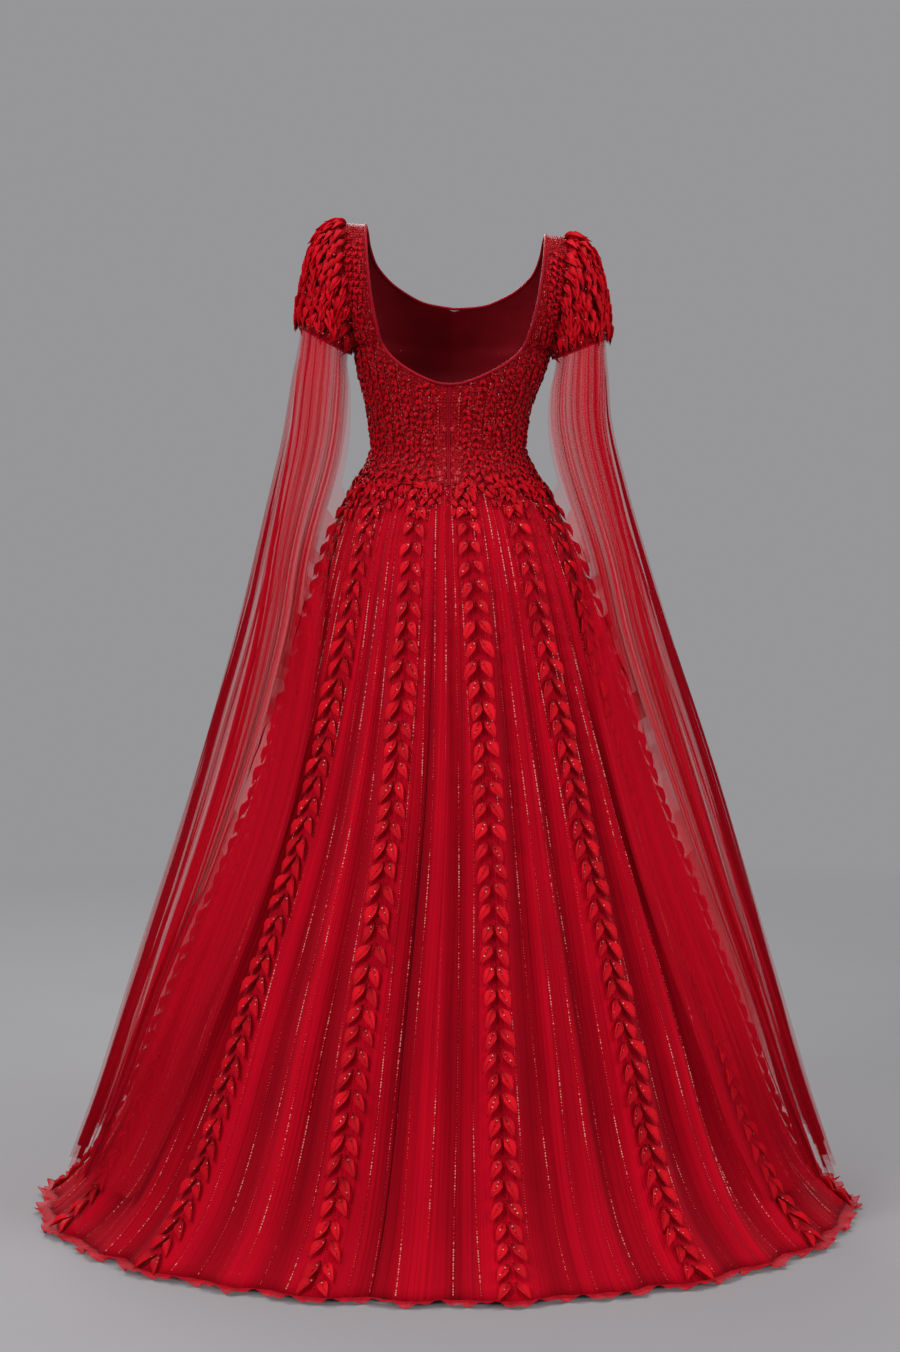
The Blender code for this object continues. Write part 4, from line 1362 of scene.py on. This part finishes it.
class GOWN_OT_sleeve_drapes(bpy.types.Operator):
    """Hang the two sheer drapes from under the caps, in two layers each"""

    bl_idname = "gown.sleeve_drapes"
    bl_label = "Sleeve drapes"

    def execute(self, context):
        colours = context.scene.gown_colours
        top = DRAPE_ROWS[0].height
        bottom = DRAPE_ROWS[-1].height
        for layer in DRAPE_LAYERS:
            finish = sheer_cloth("drape_tulle_" + layer.name, colours, layer.thinnest, layer.densest)
            for word, side in (("left", 1), ("right", -1)):

                def place(u, v, side=side, layer=layer):
                    inset = layer.inset * eased(v * 1.8)
                    if layer.inset:
                        inset = inset + 0.004 * np.clip(8 * v, 0, 1)
                    share = layer.first + (layer.last - layer.first) * u
                    return drape_place(share, top + (bottom - top) * v, side, inset)

                def thin(u, v, layer=layer):
                    back = 0.05 + 0.30 * eased((v - 0.60) / 0.3)
                    edges = 0.9 * (1 - eased(np.minimum(u / back, (1 - u) / 0.14)))
                    bend = 0.0 if layer.inset else 0.85 * np.exp(-(((u - 0.50) / 0.13) ** 2))
                    edges = np.maximum(edges, bend)
                    edges = np.maximum(edges, eased((v - 0.78) / 0.2) * (1 - eased((u - 0.35) / 0.3)))
                    near_arm = 0.40 * eased((0.30 - v) / 0.15) * (1 - eased((u - 0.30) / 0.35))
                    return np.maximum(edges, near_arm)

                size = (0.9 * (layer.last - layer.first), 1.3)
                mesh = placed_grid(f"drape_{layer.name}_{word}", layer.columns, 64, place, size, mark=thin)
                face_out(mesh, from_axis)
                replaced = [] if layer.inset else ["sleeve_drape_" + word]
                piece = thicken(
                    piece_of(mesh, finish, replaced), context.scene.gown_sizes.tulle
                )
        return {"FINISHED"}


class GOWN_OT_studio(bpy.types.Operator):
    """Set up the pale floor, the soft lights and the camera"""

    bl_idname = "gown.studio"
    bl_label = "Studio"

    def execute(self, context):
        scene = context.scene
        scene.view_settings.view_transform = "Standard"
        shape = bmesh.new()
        bmesh.ops.create_circle(shape, cap_ends=True, segments=96, radius=7.0)
        bmesh.ops.translate(shape, verts=shape.verts, vec=(0, 0, -SHOULDER_HEIGHT))
        mesh = bpy.data.meshes.new("studio_floor")
        shape.to_mesh(mesh)
        shape.free()
        mesh.materials.append(self.floor_finish())
        floor = bpy.data.objects.new("studio_floor", mesh)
        scene.collection.objects.link(floor)
        world = bpy.data.worlds.new("studio_air")
        world.use_nodes = True
        air = world.node_tree.nodes["Background"]
        air.inputs["Color"].default_value = (0.305, 0.305, 0.315, 1)
        air.inputs["Strength"].default_value = 1.0
        scene.world = world
        for name, place, size, power in (
            ("key_light", (2.6, 3.6, 1.9), 2.2, 150),
            ("fill_light", (-3.4, 2.6, 1.2), 2.6, 90),
            ("front_light", (1.2, -3.8, 1.6), 2.6, 90),
            ("top_light", (0.0, 0.6, 2.8), 2.4, 60),
        ):
            light = bpy.data.lights.new(name, "AREA")
            light.size = size
            light.energy = power
            lamp = bpy.data.objects.new(name, light)
            lamp.location = place
            aim = Vector((0.0, 0.0, -0.6))
            lamp.rotation_euler = (aim - lamp.location).to_track_quat("-Z", "Y").to_euler()
            scene.collection.objects.link(lamp)
        camera = bpy.data.cameras.new("photo_camera")
        camera.lens = CAMERA_LENS
        viewer = bpy.data.objects.new("photo_camera", camera)
        viewer.location = CAMERA_PLACE
        viewer.rotation_euler = (math.radians(90 - CAMERA_PITCH), 0, math.pi)
        scene.collection.objects.link(viewer)
        scene.camera = viewer
        return {"FINISHED"}

    def floor_finish(self):
        """Pale paper that fades into the air round it."""
        paper = Cloth("studio_paper", Roughness=0.9)
        where = paper.node("ShaderNodeTexCoord", output="Object")
        flat = paper.node("ShaderNodeVectorMath", {0: where, 1: (1.0, 1.0, 0.0)}, operation="MULTIPLY")
        far = paper.node("ShaderNodeVectorMath", {0: flat}, output=1, operation="LENGTH")
        grain = paper.node("ShaderNodeTexNoise", {"Vector": where, "Scale": 3.0})
        colour = paper.blend(grain, (0.28, 0.275, 0.285, 1), (0.30, 0.295, 0.305, 1))
        return paper.shade(Base_Color=colour, Alpha=1 - far.clipped(1.3, 4.5))


class GOWN_PT_panel(bpy.types.Panel):
    """The gown's pieces and what can be changed on them"""

    bl_idname = "GOWN_PT_panel"
    bl_label = "Ball gown"
    bl_space_type = "VIEW_3D"
    bl_region_type = "UI"
    bl_category = "Gown"

    def draw(self, context):
        for group in (context.scene.gown_colours, context.scene.gown_sizes):
            for name in group.__annotations__:
                self.layout.prop(group, name)
        for operator in OPERATORS:
            self.layout.operator(operator.bl_idname)


OPERATORS = (
    GOWN_OT_skirt,
    GOWN_OT_leaf_vines,
    GOWN_OT_bead_lines,
    GOWN_OT_hem_edging,
    GOWN_OT_bodice,
    GOWN_OT_bodice_beads,
    GOWN_OT_cap_sleeves,
    GOWN_OT_sleeve_drapes,
    GOWN_OT_studio,
)
CLASSES = (GownColours, GownSizes, *OPERATORS, GOWN_PT_panel)


def register():
    for each in CLASSES:
        bpy.utils.register_class(each)
    bpy.types.Scene.gown_colours = bpy.props.PointerProperty(type=GownColours)
    bpy.types.Scene.gown_sizes = bpy.props.PointerProperty(type=GownSizes)


def unregister():
    del bpy.types.Scene.gown_sizes
    del bpy.types.Scene.gown_colours
    for each in reversed(CLASSES):
        bpy.utils.unregister_class(each)


def main():
    """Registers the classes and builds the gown."""
    register()
    bpy.ops.gown.skirt()
    bpy.ops.gown.leaf_vines()
    bpy.ops.gown.bead_lines()
    bpy.ops.gown.hem_edging()
    bpy.ops.gown.bodice()
    bpy.ops.gown.bodice_beads()
    bpy.ops.gown.cap_sleeves()
    bpy.ops.gown.sleeve_drapes()
    bpy.ops.gown.studio()


if __name__ == "__main__":
    main()
